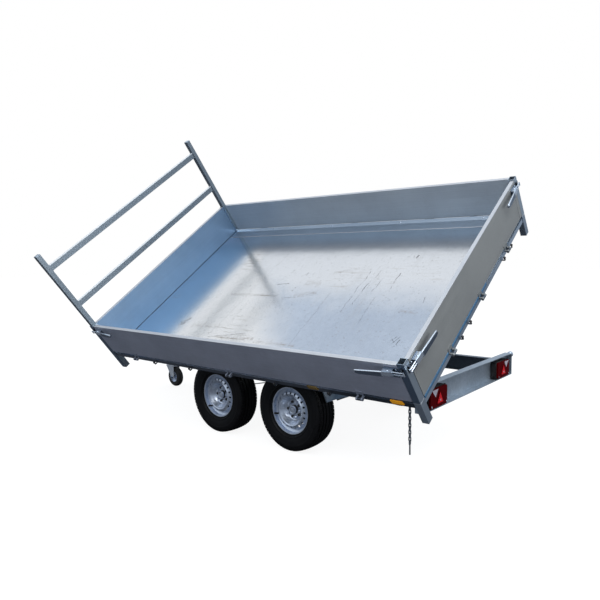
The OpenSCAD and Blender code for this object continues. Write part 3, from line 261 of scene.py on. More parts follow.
def make_scratch():
    """One straight, broken mark on the bed's floor, between two points of the level bed."""
    sockets = {"X From": 0.0, "Y From": 0.0, "X To": 0.0, "Y To": 0.3, "Width": 0.004}
    shader, given, out = start_group("load_scratch", sockets, ["Mask"])
    add, sub, mul = shader.add, shader.sub, shader.mul
    place = shader.level()
    spot = shader.axes(place)
    bend = shader.scaled(shader.noise(place, 9.0, 2.0, 0.5), 0.05, -0.025)
    run_x = sub(given["X To"], given["X From"])
    run_y = sub(given["Y To"], given["Y From"])
    off_x = add(sub(spot["X"], given["X From"]), bend)
    off_y = sub(spot["Y"], given["Y From"])
    length2 = add(mul(run_x, run_x), mul(run_y, run_y))
    share = shader.math("DIVIDE", add(mul(off_x, run_x), mul(off_y, run_y)), length2)
    inside = shader.math("LESS_THAN", shader.size(sub(share, 0.5)), 0.5)
    cross = sub(mul(off_x, run_y), mul(off_y, run_x))
    apart = shader.math("DIVIDE", shader.size(cross), shader.math("SQRT", length2))
    near = sub(1.0, shader.math("DIVIDE", apart, given["Width"]), clamp=True)
    broken = shader.ramp(shader.noise(place, 34.0, 3.0, 0.7), 0.38, 0.55)
    shader.feed(out["Mask"], mul(mul(near, inside), broken))
    return shader.tree


SPANGLE, GRIME, BRUSHING, SCRATCH = make_spangle(), make_grime(), make_brushing(), make_scratch()


# Kinds of finish

def zinc(name, dark, light, rough, metal=0.85, grain=60.0, dirt=0.15, reach=0.8, patch=2.5,
         crystals=0.4):
    """Galvanised or zinc-plated steel: crystals, cloudy tone and road dirt."""
    mat = Material(name)
    spangle = mat.group(SPANGLE, Grain=grain, Patch=patch, Crystals=crystals)
    mask = mat.group(GRIME, Amount=dirt, Reach=reach)["Mask"]
    clean = mat.blend(spangle["Tone"], dark, light)
    uneven = 0.35 * crystals
    gloss = mat.scaled(spangle["Gloss"], uneven, rough - uneven / 2)
    mat.set(Base_Color=mat.blend(mask, clean, DIRT), Roughness=mat.scaled(mask, 0.35, gloss),
            Metallic=mat.scaled(mask, -0.7, metal))
    mat.bump(mat.noise(mat.place(), 180.0, 2.0), 0.12 * crystals)


def panel(name, dark, light, rough, metal=0.5, along_x=1.0):
    """Wall of drawn metal: fine lines along its length, soft cloudy tone, a little dust."""
    mat = Material(name, Metallic=metal)
    brushed = mat.group(BRUSHING, Along_X=along_x)
    tone = mat.scaled(brushed["Lines"], 0.55, mat.mul(brushed["Cloud"], 0.45))
    dust = mat.group(GRIME, Amount=0.12, Reach=1.2)["Mask"]
    clean = mat.blend(tone, dark, light)
    mat.set(Base_Color=mat.blend(dust, clean, DIRT),
            Roughness=mat.scaled(brushed["Lines"], 0.16, rough - 0.08))
    mat.bump(brushed["Lines"], 0.05)


def plain(name, dark, light, rough, metal=0.0, scale=24.0, grain=0.15, grain_scale=400.0,
          dirt=0.15, reach=0.8, coat=0.0, spread=0.15, shine=0.5):
    """Paint, plastic or rubber with uneven tone, a fine grain and road dirt."""
    mat = Material(name, Metallic=metal, Coat_Weight=coat, Specular_IOR_Level=shine)
    place = mat.place()
    tone = mat.ramp(mat.noise(place, scale, 5.0, 0.6), 0.3, 0.7)
    mask = mat.group(GRIME, Amount=dirt, Reach=reach)["Mask"]
    clean = mat.blend(tone, dark, light)
    uneven = mat.scaled(tone, spread, rough - spread / 2)
    mat.set(Base_Color=mat.blend(mask, clean, DIRT), Roughness=mat.scaled(mask, 0.25, uneven))
    mat.bump(mat.noise(place, grain_scale, 2.0), grain)


def lens(name, dark, light, rough=0.12, pitch=0.004, slant=0.0):
    """Moulded lens: small prisms, square or slanted."""
    mat = Material(name, Roughness=rough, Specular_IOR_Level=0.02)
    spot = mat.axes(mat.place())
    rows = mat.math("PINGPONG", mat.scaled(spot["X"], slant, spot["Z"]), pitch)
    columns = mat.math("PINGPONG", spot["Y"], pitch)
    height = mat.mul(mat.add(rows, columns), 0.5 / pitch)
    colour = mat.blend(height, dark, light)
    mat.set(Base_Color=colour)
    mat.bump(height, 0.35, 0.002)
    return mat, colour


def amber_markers():
    """Amber side reflectors: slanted prisms; the rear ones glow faintly with painted light, and the
    middle one, in the bed's shade, is dulled to olive by painted shade and dust.
    """
    mat, amber = lens("amber_reflector", (0.75, 0.26, 0.01), (1.0, 0.50, 0.04),
                      rough=0.2, pitch=0.006, slant=0.8)
    # Painted shade and dust: the mask named dust turns the middle reflector olive. Painted light:
    # the emission makes the rear ones glow though they are no lamps.
    dust = mat.ramp(mat.axes(mat.place())["X"], -1.1, -1.0, 0.0, 0.92)
    mat.set(Base_Color=mat.blend(dust, amber, (0.10, 0.10, 0.055)),
            Emission_Color=mat.blend(dust, (0.10, 0.042, 0.002), (0.0, 0.0, 0.0)),
            Emission_Strength=1.6)


# Scratches on the floor: from and to, as x and y of the level bed, then their width
SCRATCHES = [
    (-0.842, -0.233, -0.843, 0.006, 0.0045), (-0.892, -0.442, -0.886, -0.396, 0.008),
    (-0.558, -0.234, -0.549, 0.248, 0.003), (-0.614, -0.116, -0.610, 0.157, 0.004),
    (-0.650, -0.248, -0.639, -0.152, 0.003), (-0.717, -0.154, -0.703, 0.030, 0.0035),
    (0.488, -0.495, 0.581, 0.602, 0.0022), (-0.337, 0.025, -0.316, 0.627, 0.0022),
    (0.068, -0.221, 0.064, -0.153, 0.005), (0.068, -0.014, 0.074, 0.031, 0.009),
    (-1.103, 0.510, -1.150, 0.440, 0.004), (-1.130, 0.530, -1.172, 0.445, 0.004),
    (-1.160, 0.540, -1.180, 0.470, 0.004), (-1.120, 0.470, -1.180, 0.530, 0.003),
    (-1.162, 0.044, -1.175, 0.106, 0.003), (-1.040, 0.216, -1.096, 0.218, 0.003),
    (0.985, 0.470, 1.040, 0.520, 0.010), (0.200, 0.560, 0.560, 0.640, 0.004),
    (0.960, 0.440, 1.000, 0.480, 0.009), (0.985, 0.510, 1.035, 0.550, 0.008),
    (0.700, 0.300, 0.760, 0.640, 0.003), (-0.760, 0.060, -0.775, 0.360, 0.0025),
    (0.180, -0.060, 0.300, -0.045, 0.006), (-0.020, 0.110, 0.120, 0.128, 0.004),
]

# Brownish smears of loads on the floor, given like the scratches
SMEARS = [
    (0.011, -0.077, -0.157, -0.065, 0.050), (0.017, 0.096, -0.193, 0.043, 0.035),
    (1.040, 0.560, 0.975, 0.440, 0.060), (0.428, 0.625, 0.057, 0.612, 0.030),
    (0.038, 0.636, -0.367, 0.632, 0.025), (0.880, 0.530, 0.527, 0.516, 0.040),
    (-0.206, -0.205, -0.434, -0.273, 0.025), (-1.009, 0.191, -1.179, 0.219, 0.022),
    (0.765, 0.108, 0.196, 0.105, 0.022),
]


def worst_mark(mat, places, start):
    """Largest of a value and the masks of all the marks in a list."""
    worst = start
    for x_from, y_from, x_to, y_to, width in places:
        mark = mat.group(SCRATCH, X_From=x_from, Y_From=y_from, X_To=x_to, Y_To=y_to, Width=width)
        worst = mat.math("MAXIMUM", worst, mark["Mask"])
    return worst


def floor_sheet():
    """Bright galvanised floor sheet: clouded, dented and marked by loads that slid off it."""
    mat = Material("floor_sheet", Metallic=0.92)
    spot = mat.axes(mat.level())
    spangle = mat.group(SPANGLE, Grain=34.0, Patch=1.1, Crystals=0.22)
    colour = mat.blend(spangle["Tone"], (0.415, 0.462, 0.53), (0.53, 0.577, 0.645))
    # Worn pale to the front and along the raised half; bluer by the front wall and the raised fold,
    # a painted reflection of the sky and of the right wall
    uneven = mat.scaled(mat.noise(mat.level(), 1.6, 4.0), 0.5, -0.25)
    lean = mat.scaled(spot["Y"], 0.75, spot["X"])
    forward = mat.ramp(mat.add(lean, uneven), 0.0, 0.60)
    upper = mat.ramp(mat.add(spot["Y"], uneven), -0.15, 0.25, 0.72, 0.0)
    inner = mat.ramp(spot["Y"], -0.70, -0.45)
    worn = mat.mul(mat.math("MAXIMUM", forward, upper), inner)
    colour = mat.blend(worn, colour, (0.82, 0.79, 0.755))
    # Painted reflection: blue near the front wall, and blue along the raised fold on the right
    colour = mat.blend(mat.ramp(spot["X"], 0.90, 1.25), colour, (0.46, 0.62, 0.76))
    fold = mat.ramp(spot["Y"], -0.74, -0.58, 1.0, 0.0)
    colour = mat.blend(fold, colour, (0.57, 0.69, 0.82))
    # Dusty smudges on the worn part, long streaks and dark specks
    smear = mat.ramp(mat.noise(mat.level((2.6, 26.0, 1.0)), 1.5, 5.0, 0.7), 0.50, 0.68)
    patch = mat.ramp(mat.noise(mat.level(), 2.1, 2.0), 0.45, 0.62)
    smudged = mat.mul(mat.mul(smear, patch), worn)
    colour = mat.blend(mat.mul(smudged, 0.6), colour, (0.45, 0.40, 0.34))
    streaks = mat.ramp(mat.noise(mat.level((7.0, 1.1, 1.0)), 1.6, 5.0, 0.65), 0.52, 0.80)
    colour = mat.blend(mat.mul(streaks, 0.22), colour, (0.50, 0.48, 0.45))
    specks = mat.ramp(mat.noise(mat.level(), 60.0, 1.0, 0.5), 0.66, 0.70)
    colour = mat.blend(mat.mul(specks, 0.26), colour, (0.26, 0.25, 0.24))
    # Single smears and scratches
    soiled = mat.mul(worst_mark(mat, SMEARS, 0.0), mat.scaled(smear, 0.7, 0.3))
    colour = mat.blend(mat.mul(soiled, 0.75), colour, (0.30, 0.25, 0.20))
    fine = mat.ramp(mat.noise(mat.level((60.0, 2.0, 1.0)), 2.4, 4.0, 0.75), 0.64, 0.76)
    marks = worst_mark(mat, SCRATCHES, mat.mul(fine, 0.16))
    colour = mat.blend(mat.mul(marks, 0.95), colour, (0.05, 0.045, 0.045))
    mat.set(Base_Color=colour, Roughness=mat.scaled(marks, 0.3, mat.scaled(streaks, 0.05, 0.17)))
    mat.bump(mat.noise(mat.place(), 2.6), 0.12, 0.02)


def edge_rail():
    """Folded edge rail: bright lip above the floor, its outer faces along both sides darkened with
    painted shade, deepest at the rear.
    """
    mat = Material("edge_rail", Metallic=0.9, Roughness=0.30)
    spangle = mat.group(SPANGLE, Grain=45.0, Patch=1.6, Crystals=0.08)
    clean = mat.blend(spangle["Tone"], (0.44, 0.53, 0.63), (0.56, 0.65, 0.75))
    spot = mat.axes(mat.level())
    side = mat.ramp(mat.size(spot["Y"]), 0.915, 0.935)
    below = mat.ramp(spot["Z"], FLOOR - 0.012, FLOOR - 0.002, 1.0, 0.0)
    # Painted shade on the outer faces of the side rails, darkest towards the rear end
    ahead = mat.ramp(spot["X"], -1.10, -0.75)
    painted_shade = mat.blend(ahead, (0.060, 0.076, 0.100), (0.17, 0.19, 0.23))
    mat.set(Base_Color=mat.blend(mat.mul(side, below), clean, painted_shade))
    mat.bump(spangle["Tone"], 0.05)


def fittings(name, hinge, along, centre, half, across, face):
    """Zinc-plated latches, bright but for their bases and grips, which are darkened with painted
    shade; the hinges below them duller.
    """
    mat = Material(name)
    spangle = mat.group(SPANGLE, Grain=140.0, Patch=6.0, Crystals=0.15)
    bright = mat.blend(spangle["Tone"], (0.60, 0.70, 0.82), (0.90, 0.95, 1.0))
    spot = mat.axes(mat.level())
    high = mat.ramp(spot["Z"], 0.80, 0.86)
    run = mat.size(mat.sub(spot[along], centre))
    grip = mat.ramp(run, half - 0.105, half - 0.090, 1.0, 0.0)
    below_rim = mat.ramp(spot["Z"], LEVER_TOP - 0.0065, LEVER_TOP - 0.0045, 1.0, 0.0)
    base = mat.ramp(mat.size(spot[across]), face + 0.0040, face + 0.0052, 1.0, 0.0)
    # Painted shade: the grips below their top edges and the base plates are darkened, as if facing
    # the dark ground
    dull = mat.math("MAXIMUM", mat.mul(grip, below_rim), base)
    bright = mat.blend(mat.mul(dull, 0.9), bright, (0.13, 0.17, 0.23))
    gloss = mat.scaled(spangle["Gloss"], 0.06, 0.45)
    mat.set(Base_Color=mat.blend(high, hinge, bright), Metallic=mat.scaled(high, 0.42, 0.50),
            Roughness=mat.scaled(high, -0.30, gloss))
    mat.bump(spangle["Tone"], 0.05)


def corner_posts():
    """Square corner posts: galvanised, their outer faces darkened with painted shade."""
    mat = Material("corner_posts", Metallic=0.95, Roughness=0.30)
    spangle = mat.group(SPANGLE, Grain=45.0, Patch=1.6, Crystals=0.1)
    clean = mat.blend(spangle["Tone"], (0.42, 0.50, 0.57), (0.55, 0.63, 0.70))
    across = mat.size(mat.axes(mat.level())["Y"])
    outer = mat.ramp(across, BED_SIDE - 0.0022, BED_SIDE - 0.0008)
    # Painted shade on the posts' outer faces
    mat.set(Base_Color=mat.blend(outer, clean, (0.17, 0.235, 0.32)))
    mat.bump(spangle["Tone"], 0.05)


def make_finishes():
    """One finish for each slot of the record, then those of single nodes and pieces."""
    zinc("galvanised_frame", (0.32, 0.39, 0.46), (0.54, 0.62, 0.70), 0.40,
         metal=0.8, grain=70.0, dirt=0.12, reach=0.9, crystals=0.3)
    zinc("zinc_fittings", (0.40, 0.49, 0.60), (0.70, 0.78, 0.88), 0.22,
         metal=1.0, grain=140.0, dirt=0.05, reach=0.7, crystals=0.2)
    zinc("galvanised_sheet", (0.36, 0.43, 0.50), (0.49, 0.57, 0.65), 0.29,
         metal=0.95, grain=45.0, dirt=0.05, reach=0.9, patch=1.6, crystals=0.1)
    zinc("ram_steel", (0.62, 0.63, 0.65), (0.74, 0.75, 0.77), 0.18,
         metal=1.0, grain=30.0, dirt=0.05, reach=0.5, crystals=0.1)
    plain("lamp_black", (0.008, 0.008, 0.009), (0.02, 0.02, 0.022), 0.5, shine=0.15)
    lens("lamp_red", (0.038, 0.0002, 0.0010), (0.105, 0.0004, 0.0020), 0.4)
    lens("lamp_clear", (0.27, 0.24, 0.28), (0.54, 0.51, 0.57))
    amber_markers()
    plain("cast_fittings", (0.06, 0.06, 0.065), (0.13, 0.13, 0.135), 0.6,
          metal=0.4, scale=60.0, grain=0.4, grain_scale=260.0)
    plain("hub_cast", (0.02, 0.02, 0.022), (0.05, 0.05, 0.055), 0.5,
          metal=0.4, scale=60.0, grain=0.3, grain_scale=260.0)
    plain("bellows_rubber", (0.010, 0.010, 0.010), (0.025, 0.025, 0.026), 0.65)
    plain("box_plastic", (0.014, 0.014, 0.015), (0.03, 0.03, 0.032), 0.55,
          scale=12.0, grain=0.35, grain_scale=700.0)
    plain("ram_black", (0.010, 0.010, 0.012), (0.02, 0.02, 0.024), 0.3,
          scale=9.0, grain=0.05, grain_scale=300.0, coat=0.4)
    plain("jockey_rubber", (0.010, 0.010, 0.010), (0.022, 0.022, 0.022), 0.7,
          scale=40.0, grain=0.3, grain_scale=240.0, dirt=0.2, reach=0.4)
    plain("tyre_rubber", (0.0015, 0.0015, 0.002), (0.004, 0.004, 0.005), 0.55,
          scale=30.0, grain_scale=300.0, dirt=0.01, reach=0.4, shine=0.22)
    plain("wheel_silver", (0.64, 0.71, 0.82), (0.77, 0.83, 0.93), 0.30, metal=0.80,
          scale=40.0, grain=0.004, grain_scale=300.0, dirt=0.02, reach=0.5, spread=0.06)

    # Painted light and shade: the four walls are one drawn metal, each toned to the light it gets;
    # their different brightness and blue tints are painted light, shade and reflection
    panel("left_panel", (0.45, 0.475, 0.56), (0.60, 0.625, 0.72), 0.46)
    panel("right_panel", (0.43, 0.48, 0.53), (0.54, 0.60, 0.65), 0.40)
    panel("gate_panel", (0.24, 0.252, 0.252), (0.305, 0.317, 0.313), 0.50, along_x=0.0)
    panel("front_panel", (0.17, 0.27, 0.40), (0.23, 0.34, 0.485), 0.36, along_x=0.0)
    panel("pale_rim", (0.44, 0.46, 0.49), (0.56, 0.58, 0.61), 0.40, metal=0.6)
    # Painted highlight: pale finish of the strips along the rack bars' tops
    panel("bar_highlight", (0.66, 0.69, 0.71), (0.82, 0.84, 0.85), 0.35, metal=0.3, along_x=0.0)
    floor_sheet()
    edge_rail()
    corner_posts()
    middle, half = (SIDE_FROM + SIDE_TO) / 2, (SIDE_TO - SIDE_FROM) / 2
    fittings("side_fittings", (0.34, 0.37, 0.44), "X", middle, half, "Y", BED_SIDE)
    fittings("gate_fittings", (0.22, 0.235, 0.24), "Y", 0.0, GATE_HALF, "X", -BED_REAR)
    zinc("rack_tube", (0.205, 0.25, 0.29), (0.245, 0.295, 0.34), 0.36,
         metal=0.75, grain=12.0, dirt=0.03, reach=0.9, patch=2.0, crystals=0.02)
    # Painted shade: the chassis rails get a darker copy of the frame's zinc, for the shade under the
    # bed
    zinc("rail_zinc", (0.14, 0.175, 0.22), (0.24, 0.285, 0.34), 0.38,
         grain=70.0, dirt=0.12, reach=0.9, crystals=0.2)
    zinc("dark_zinc", (0.05, 0.06, 0.075), (0.12, 0.14, 0.17), 0.35,
         metal=0.9, grain=140.0, dirt=0.1, reach=0.7)
    zinc("chain_zinc", (0.12, 0.14, 0.17), (0.34, 0.37, 0.41), 0.32,
         metal=0.95, grain=90.0, dirt=0.1, reach=0.7, patch=40.0)
    # Painted light: a paler, less metallic copy of the zinc, so the jockey fork reads as brightly
    # lit
    zinc("bright_zinc", (0.84, 0.88, 0.93), (0.96, 0.98, 1.0), 0.28,
         metal=0.15, grain=140.0, dirt=0.04, reach=0.7, patch=6.0, crystals=0.15)
    zinc("blue_zinc", (0.10, 0.24, 0.42), (0.16, 0.34, 0.55), 0.30,
         metal=0.7, grain=45.0, dirt=0.05, reach=0.9, patch=1.6, crystals=0.05)
    lens("reflex_red", (0.30, 0.006, 0.010), (0.75, 0.03, 0.04), 0.15, 0.006)


# Nodes whose finish isn't their slot's
OWN_FINISH = {
    "bed_floor": "floor_sheet", "left_side": "left_panel", "right_side": "right_panel",
    "tailgate": "gate_panel", "front_wall": "front_panel", "ladder_rack": "rack_tube",
    "bed_edge_rails": "edge_rail", "bed_fittings": "dark_zinc", "locking_chain": "chain_zinc",
    "left_side_fittings": "side_fittings", "right_side_fittings": "side_fittings",
    "tailgate_fittings": "gate_fittings", "chassis_rails": "rail_zinc", "brake_linkage": "dark_zinc",
    "rear_posts": "corner_posts", "front_posts": "corner_posts", "jockey_fork": "bright_zinc",
    "jockey_rim": "wheel_silver",
}


def dress_nodes():
    slot_of = {s["node"]: s["material_slot"] for s in frame["record"]["subparts"]}
    for name, obj in nodes.items():
        obj.data.materials.clear()
        obj.data.materials.append(FINISHES[OWN_FINISH.get(name) or slot_of[name]])


# Camera and studio

def place_camera():
    """Camera at the photograph's place, found by fitting the bed, wheels and lamps."""
    right = Vector((-0.78867253, -0.61465257, -0.01406574))
    up = Vector((0.05615872, -0.09480304, 0.99391075))
    look = Vector((0.61224328, -0.7830802, -0.10928666))
    data = bpy.data.cameras.new("photo_camera")
    data.lens = 34.178
    data.sensor_width = 36.0
    data.shift_x = -0.0602
    data.shift_y = 0.0277
    data.clip_end = 100.0
    camera = bpy.data.objects.new("photo_camera", data)
    aim = Matrix((right, up, -look)).transposed().to_4x4()
    camera.matrix_world = Matrix.Translation((-3.0827, 3.7086, 1.3976)) @ aim
    bpy.context.scene.collection.objects.link(camera)
    bpy.context.scene.camera = camera


def soft_light(name, place, target, size, watts):
    data = bpy.data.lights.new(name, "AREA")
    data.shape = "RECTANGLE"
    data.size, data.size_y = size
    data.energy = watts
    lamp = bpy.data.objects.new(name, data)
    lamp.location = place
    lamp.rotation_euler = (Vector(target) - Vector(place)).to_track_quat("-Z", "Y").to_euler()
    bpy.context.scene.collection.objects.link(lamp)


def split_by_ray(shader, seen, felt, end):
    """The camera sees one shader; everything else is lit by the other."""
    camera_ray = shader.node("ShaderNodeLightPath").outputs["Is Camera Ray"]
    mix = shader.node("ShaderNodeMixShader", camera_ray, felt.outputs[0], seen.outputs[0])
    shader.feed(shader.tree.nodes[end].inputs["Surface"], mix.outputs[0])


def light_studio():
    """White studio: a dome, paler overhead than round the sides, and two large soft lights."""
    bpy.context.scene.view_settings.view_transform = "Standard"
    world = bpy.data.worlds.new("studio")
    world.use_nodes = True
    bpy.context.scene.world = world
    sky = Shader(world.node_tree)
    dome = sky.tree.nodes["Background"]
    direction = sky.axes(sky.node("ShaderNodeTexCoord").outputs["Generated"])
    height = sky.ramp(direction["Z"], 0.0, 0.75)
    sky.feed(dome.inputs["Color"], sky.blend(height, DOME_SIDE, DOME_TOP))
    white = sky.node("ShaderNodeBackground", Color=(1.0, 1.0, 1.0))
    split_by_ray(sky, white, dome, "World Output")
    soft_light("key", (-3.0, 3.0, 5.5), (0.0, 0.0, 0.7), (5.0, 4.0), 260.0)
    soft_light("rear_fill", (-6.0, -1.0, 2.2), (-1.4, 0.0, 0.7), (3.0, 2.4), 70.0)


def lay_floor():
    """Pale floor that stays white to the camera, with the trailer's shadow faint on it."""
    bpy.ops.mesh.primitive_plane_add(size=80.0, location=(0.0, 0.0, 0.0))
    floor = bpy.context.object
    floor.name = "studio_floor"
    mat = Material("studio_floor", Base_Color=GROUND, Roughness=0.9)
    glow = mat.node("ShaderNodeEmission", Strength=0.90)
    pale = mat.node("ShaderNodeBsdfDiffuse", Color=(0.20, 0.20, 0.20))
    both = mat.node("ShaderNodeAddShader", glow.outputs[0], pale.outputs[0])
    split_by_ray(mat, both, mat.bsdf, "Material Output")
    floor.data.materials.append(FINISHES["studio_floor"])


# Modelling helpers

def only(piece):
    bpy.ops.object.select_all(action="DESELECT")
    piece.select_set(True)
    bpy.context.view_layer.objects.active = piece


def fresh(add, name, **values):
    """A new primitive, alone in the selection, with its place and size in its mesh."""
    bpy.ops.object.select_all(action="DESELECT")
    add(**values)
    piece = bpy.context.object
    piece.name = piece.data.name = name
    bpy.ops.object.transform_apply(location=True, rotation=True, scale=True)
    return piece


def block(name, low, high):
    """Box between two corners, as the start of a piece."""
    size = [b - a for a, b in zip(low, high)]
    middle = [(a + b) / 2 for a, b in zip(low, high)]
    return fresh(bpy.ops.mesh.primitive_cube_add, name, size=1.0, location=middle, scale=size)


def rod(name, sides, radius, length, middle):
    """Upright cylinder or prism round the origin's axis, as the start of a piece."""
    return fresh(bpy.ops.mesh.primitive_cylinder_add, name, vertices=sides, radius=radius,
                 depth=length, location=(0, 0, middle))


def ball(name, radius):
    return fresh(bpy.ops.mesh.primitive_uv_sphere_add, name, segments=14, ring_count=8,
                 radius=radius)


def choose(piece, test, kind="FACE"):
    """Edit mode, with only the faces or edges selected whose middle and direction pass the test."""
    only(piece)
    mesh = piece.data
    for group in (mesh.vertices, mesh.edges, mesh.polygons):
        for item in group:
            item.select = False
    bpy.context.tool_settings.mesh_select_mode = (False, kind == "EDGE", kind == "FACE")
    if kind == "FACE":
        for face in mesh.polygons:
            face.select = test(face.center, face.normal)
    else:
        for edge in mesh.edges:
            a, b = (mesh.vertices[i].co for i in edge.vertices)
            edge.select = test((a + b) / 2, b - a)
    bpy.ops.object.mode_set(mode="EDIT")


def upward(centre, normal):
    return normal.z > 0.9


def rearward(centre, normal):
    return normal.x < -0.9


def leftward(centre, normal):
    return normal.y > 0.9


def upward_within(reach):
    """Test for the upward face in the middle, when others lie round it."""
    return lambda centre, normal: normal.z > 0.9 and centre.xy.length < reach


def leave_edit():
    bpy.ops.object.mode_set(mode="OBJECT")


def everything(piece):
    """Edit mode, with the whole mesh selected."""
    only(piece)
    bpy.ops.object.mode_set(mode="EDIT")
    bpy.ops.mesh.select_all(action="SELECT")


def inset_face(piece, test, thickness, depth):
    choose(piece, test)
    bpy.ops.mesh.inset(thickness=thickness, depth=depth)
    leave_edit()


def cut_below(piece, height):
    """Takes away what lies below a height and closes the cut."""
    everything(piece)
    bpy.ops.mesh.bisect(plane_co=(0, 0, height), plane_no=(0, 0, 1), clear_inner=True, use_fill=True)
    leave_edit()


def subdivide(piece, cuts):
    everything(piece)
    bpy.ops.mesh.subdivide(number_cuts=cuts)
    leave_edit()


def soften(piece, width, segments=2, angle=30.0):
    """Rounded edges wherever two faces meet at more than the angle."""
    only(piece)
    edge = piece.modifiers.new("edge", "BEVEL")
    edge.width = width
    edge.segments = segments
    edge.limit_method = "ANGLE"
    edge.angle_limit = math.radians(angle)
    bpy.ops.object.modifier_apply(modifier=edge.name)


def plate(name, low, high, face, margin, depth, edge, segments=2):
    """Box with one face pressed in or raised inside a margin, and its edges rounded."""
    piece = block(name, low, high)
    inset_face(piece, face, margin, depth)
    soften(piece, edge, segments)
    return piece


def outline_ring(name, count, fill):
    return fresh(bpy.ops.mesh.primitive_circle_add, name, vertices=count, radius=0.1, fill_type=fill)


def prism(name, corners, low, high, axis):
    """Flat outline of any corners, drawn out between two places along X or Y."""
    piece = outline_ring(name, len(corners), "NGON")
    for vertex, (u, v) in zip(piece.data.vertices, corners):
        vertex.co = (low, u, v) if axis == "X" else (u, low, v)
    everything(piece)
    way = (high - low, 0, 0) if axis == "X" else (0, high - low, 0)
    bpy.ops.mesh.extrude_region_move(TRANSFORM_OT_translate={"value": way})
    bpy.ops.mesh.select_all(action="SELECT")
    bpy.ops.mesh.normals_make_consistent(inside=False)
    leave_edit()
    return piece


def mount(piece, body, slot, finish=None, tipped=False, angle=35.0):
    """Gives a piece its finish and hangs it on its body; pieces of the bed are tipped with it."""
    if tipped:
        piece.data.transform(TIPPED)
    only(piece)
    bpy.ops.object.shade_smooth_by_angle(angle=math.radians(angle))
    piece.data.materials.clear()
    piece.data.materials.append(FINISHES[finish or slot])
    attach(piece, body)


def turn(angle, axis):
    return Matrix.Rotation(angle, 4, axis)


def at(place, toward=(0.0, 0.0, 1.0), spin=0.0):
    """Stands a seed, drawn upright at the origin, on a place and points it along a direction."""
    lean = Vector(toward).to_track_quat("Z", "Y").to_matrix().to_4x4()
    return Matrix.Translation(place) @ lean @ turn(spin, "Z")


def join(name, pieces):
    bpy.ops.object.select_all(action="DESELECT")
    for piece in pieces:
        piece.select_set(True)
    bpy.context.view_layer.objects.active = pieces[0]
    if len(pieces) > 1:
        bpy.ops.object.join()
    pieces[0].name = pieces[0].data.name = name
    return pieces[0]


def scatter(seed, name, places):
    """Copies of one seed, each with its own mesh, joined to one piece."""
    twins = []
    for place in places:
        twin = seed.copy()
        twin.data = seed.data.copy()
        twin.data.transform(place)
        bpy.context.scene.collection.objects.link(twin)
        twins.append(twin)
    return join(name, twins)


def discard(*seeds):
    for seed in seeds:
        bpy.data.objects.remove(seed)


# Fasteners, each modelled once

def hex_bolt(radius, head):
    """Hexagon bolt head with a chamfered top, on a round washer."""
    washer_high = 0.002
    bolt = rod("bolt_seed", 6, radius, head, washer_high + head / 2)
    inset_face(bolt, upward, radius * 0.18, 0.0006)
    washer = rod("washer_seed", 20, radius * 1.45, washer_high, washer_high / 2)
    soften(washer, 0.0005, 1)
    return join("bolt_seed", [bolt, washer])


def dome_rivet(radius, rise):
    """Rivet head: the upper half of a ball, flattened."""
    rivet = ball("rivet_seed", radius)
    cut_below(rivet, 0.0)
    everything(rivet)
    bpy.ops.transform.resize(value=(1.0, 1.0, rise), center_override=(0, 0, 0))
    leave_edit()
    return rivet


# Bed

def trim_sides():
    """Grooved rims on top of the walls, and upright end profiles on the tailgate."""
    bottom, low_rim, high_rim = SIDE_TOP - 0.004, SIDE_TOP + 0.0005, SIDE_TOP + 0.0016
    flush, proud = 0.0002, 0.0005
    rims = {
        "left_side_rim": ("left_drop_side", (SIDE_FROM, BED_SIDE - WALL - flush),
                          (SIDE_TO, BED_SIDE + flush), low_rim),
        "right_side_rim": ("right_drop_side", (SIDE_FROM, -BED_SIDE - flush),
                           (SIDE_TO, WALL - BED_SIDE + flush), low_rim),
        "tailgate_rim": ("rear_gate", (BED_REAR - proud, -GATE_HALF),
                         (BED_REAR + WALL + proud, GATE_HALF), high_rim),
        "front_wall_rim": ("bed", (RACK_X - WALL / 2 - proud, -FRONT_HALF),
                           (RACK_X + WALL / 2 + proud, FRONT_HALF), high_rim),
    }
    for name, (body, low, high, top) in rims.items():
        rise = top - SIDE_TOP
        rim = plate(name, (*low, bottom), (*high, top), upward, 0.007, -0.8 * rise, 0.7 * rise)
        mount(rim, body, "side_panels", "pale_rim", tipped=True)
    for name, y in (("tailgate_left_end", GATE_HALF - GATE_END), ("tailgate_right_end", -GATE_HALF)):
        strip = plate(name, (BED_REAR - 0.0012, y, SIDE_LOW + 0.004),
                      (BED_REAR + 0.001, y + GATE_END, SIDE_TOP - 0.006),
                      rearward, 0.012, -0.0008, 0.0005, 1)
        mount(strip, "rear_gate", "side_panels", "gate_panel", tipped=True)


def finish_floor():
    """Beads along the sheet's folds, a sealed joint at the front and rivets in the sloping lips."""
    for label, side in SIDES:
        y = side * SEAM_Y
        bead = block(f"{label}_floor_bead", (SEAM_FROM, y - 0.004, FLOOR - 0.001),
                     (SEAM_TO, y + 0.004, FLOOR + 0.0014))
        inset_face(bead, upward, 0.0025, 0.0008)
        mount(bead, "bed", "galvanised_sheet", "pale_rim", tipped=True)
    joint = block("front_floor_joint", (JOINT_FROM, -JOINT_HALF, FLOOR - 0.001),
                  (JOINT_TO, JOINT_HALF, FLOOR + 0.003))
    choose(joint, lambda c, d: c.x < JOINT_FROM + 0.0005 and c.z > FLOOR + 0.002, "EDGE")
    bpy.ops.mesh.bevel(offset=0.002, segments=2)
    leave_edit()
    mount(joint, "bed", "lamp_black", tipped=True)
    rivet = dome_rivet(0.0075, 0.4)
    slope = Vector((0.0, 13.0, 30.0)).normalized()
    first, pitch = -1.24, 0.745
    places = []
    for side in (1, -1):
        lean = (0.0, -side * slope.y, slope.z)
        y, z = side * (BED_SIDE - 0.045), FLOOR + 0.0063
        places += [TIPPED @ at((first + pitch * i, y, z), lean) for i in range(4)]
    mount(scatter(rivet, "lip_rivets", places), "bed", "zinc_fittings")
    discard(rivet)


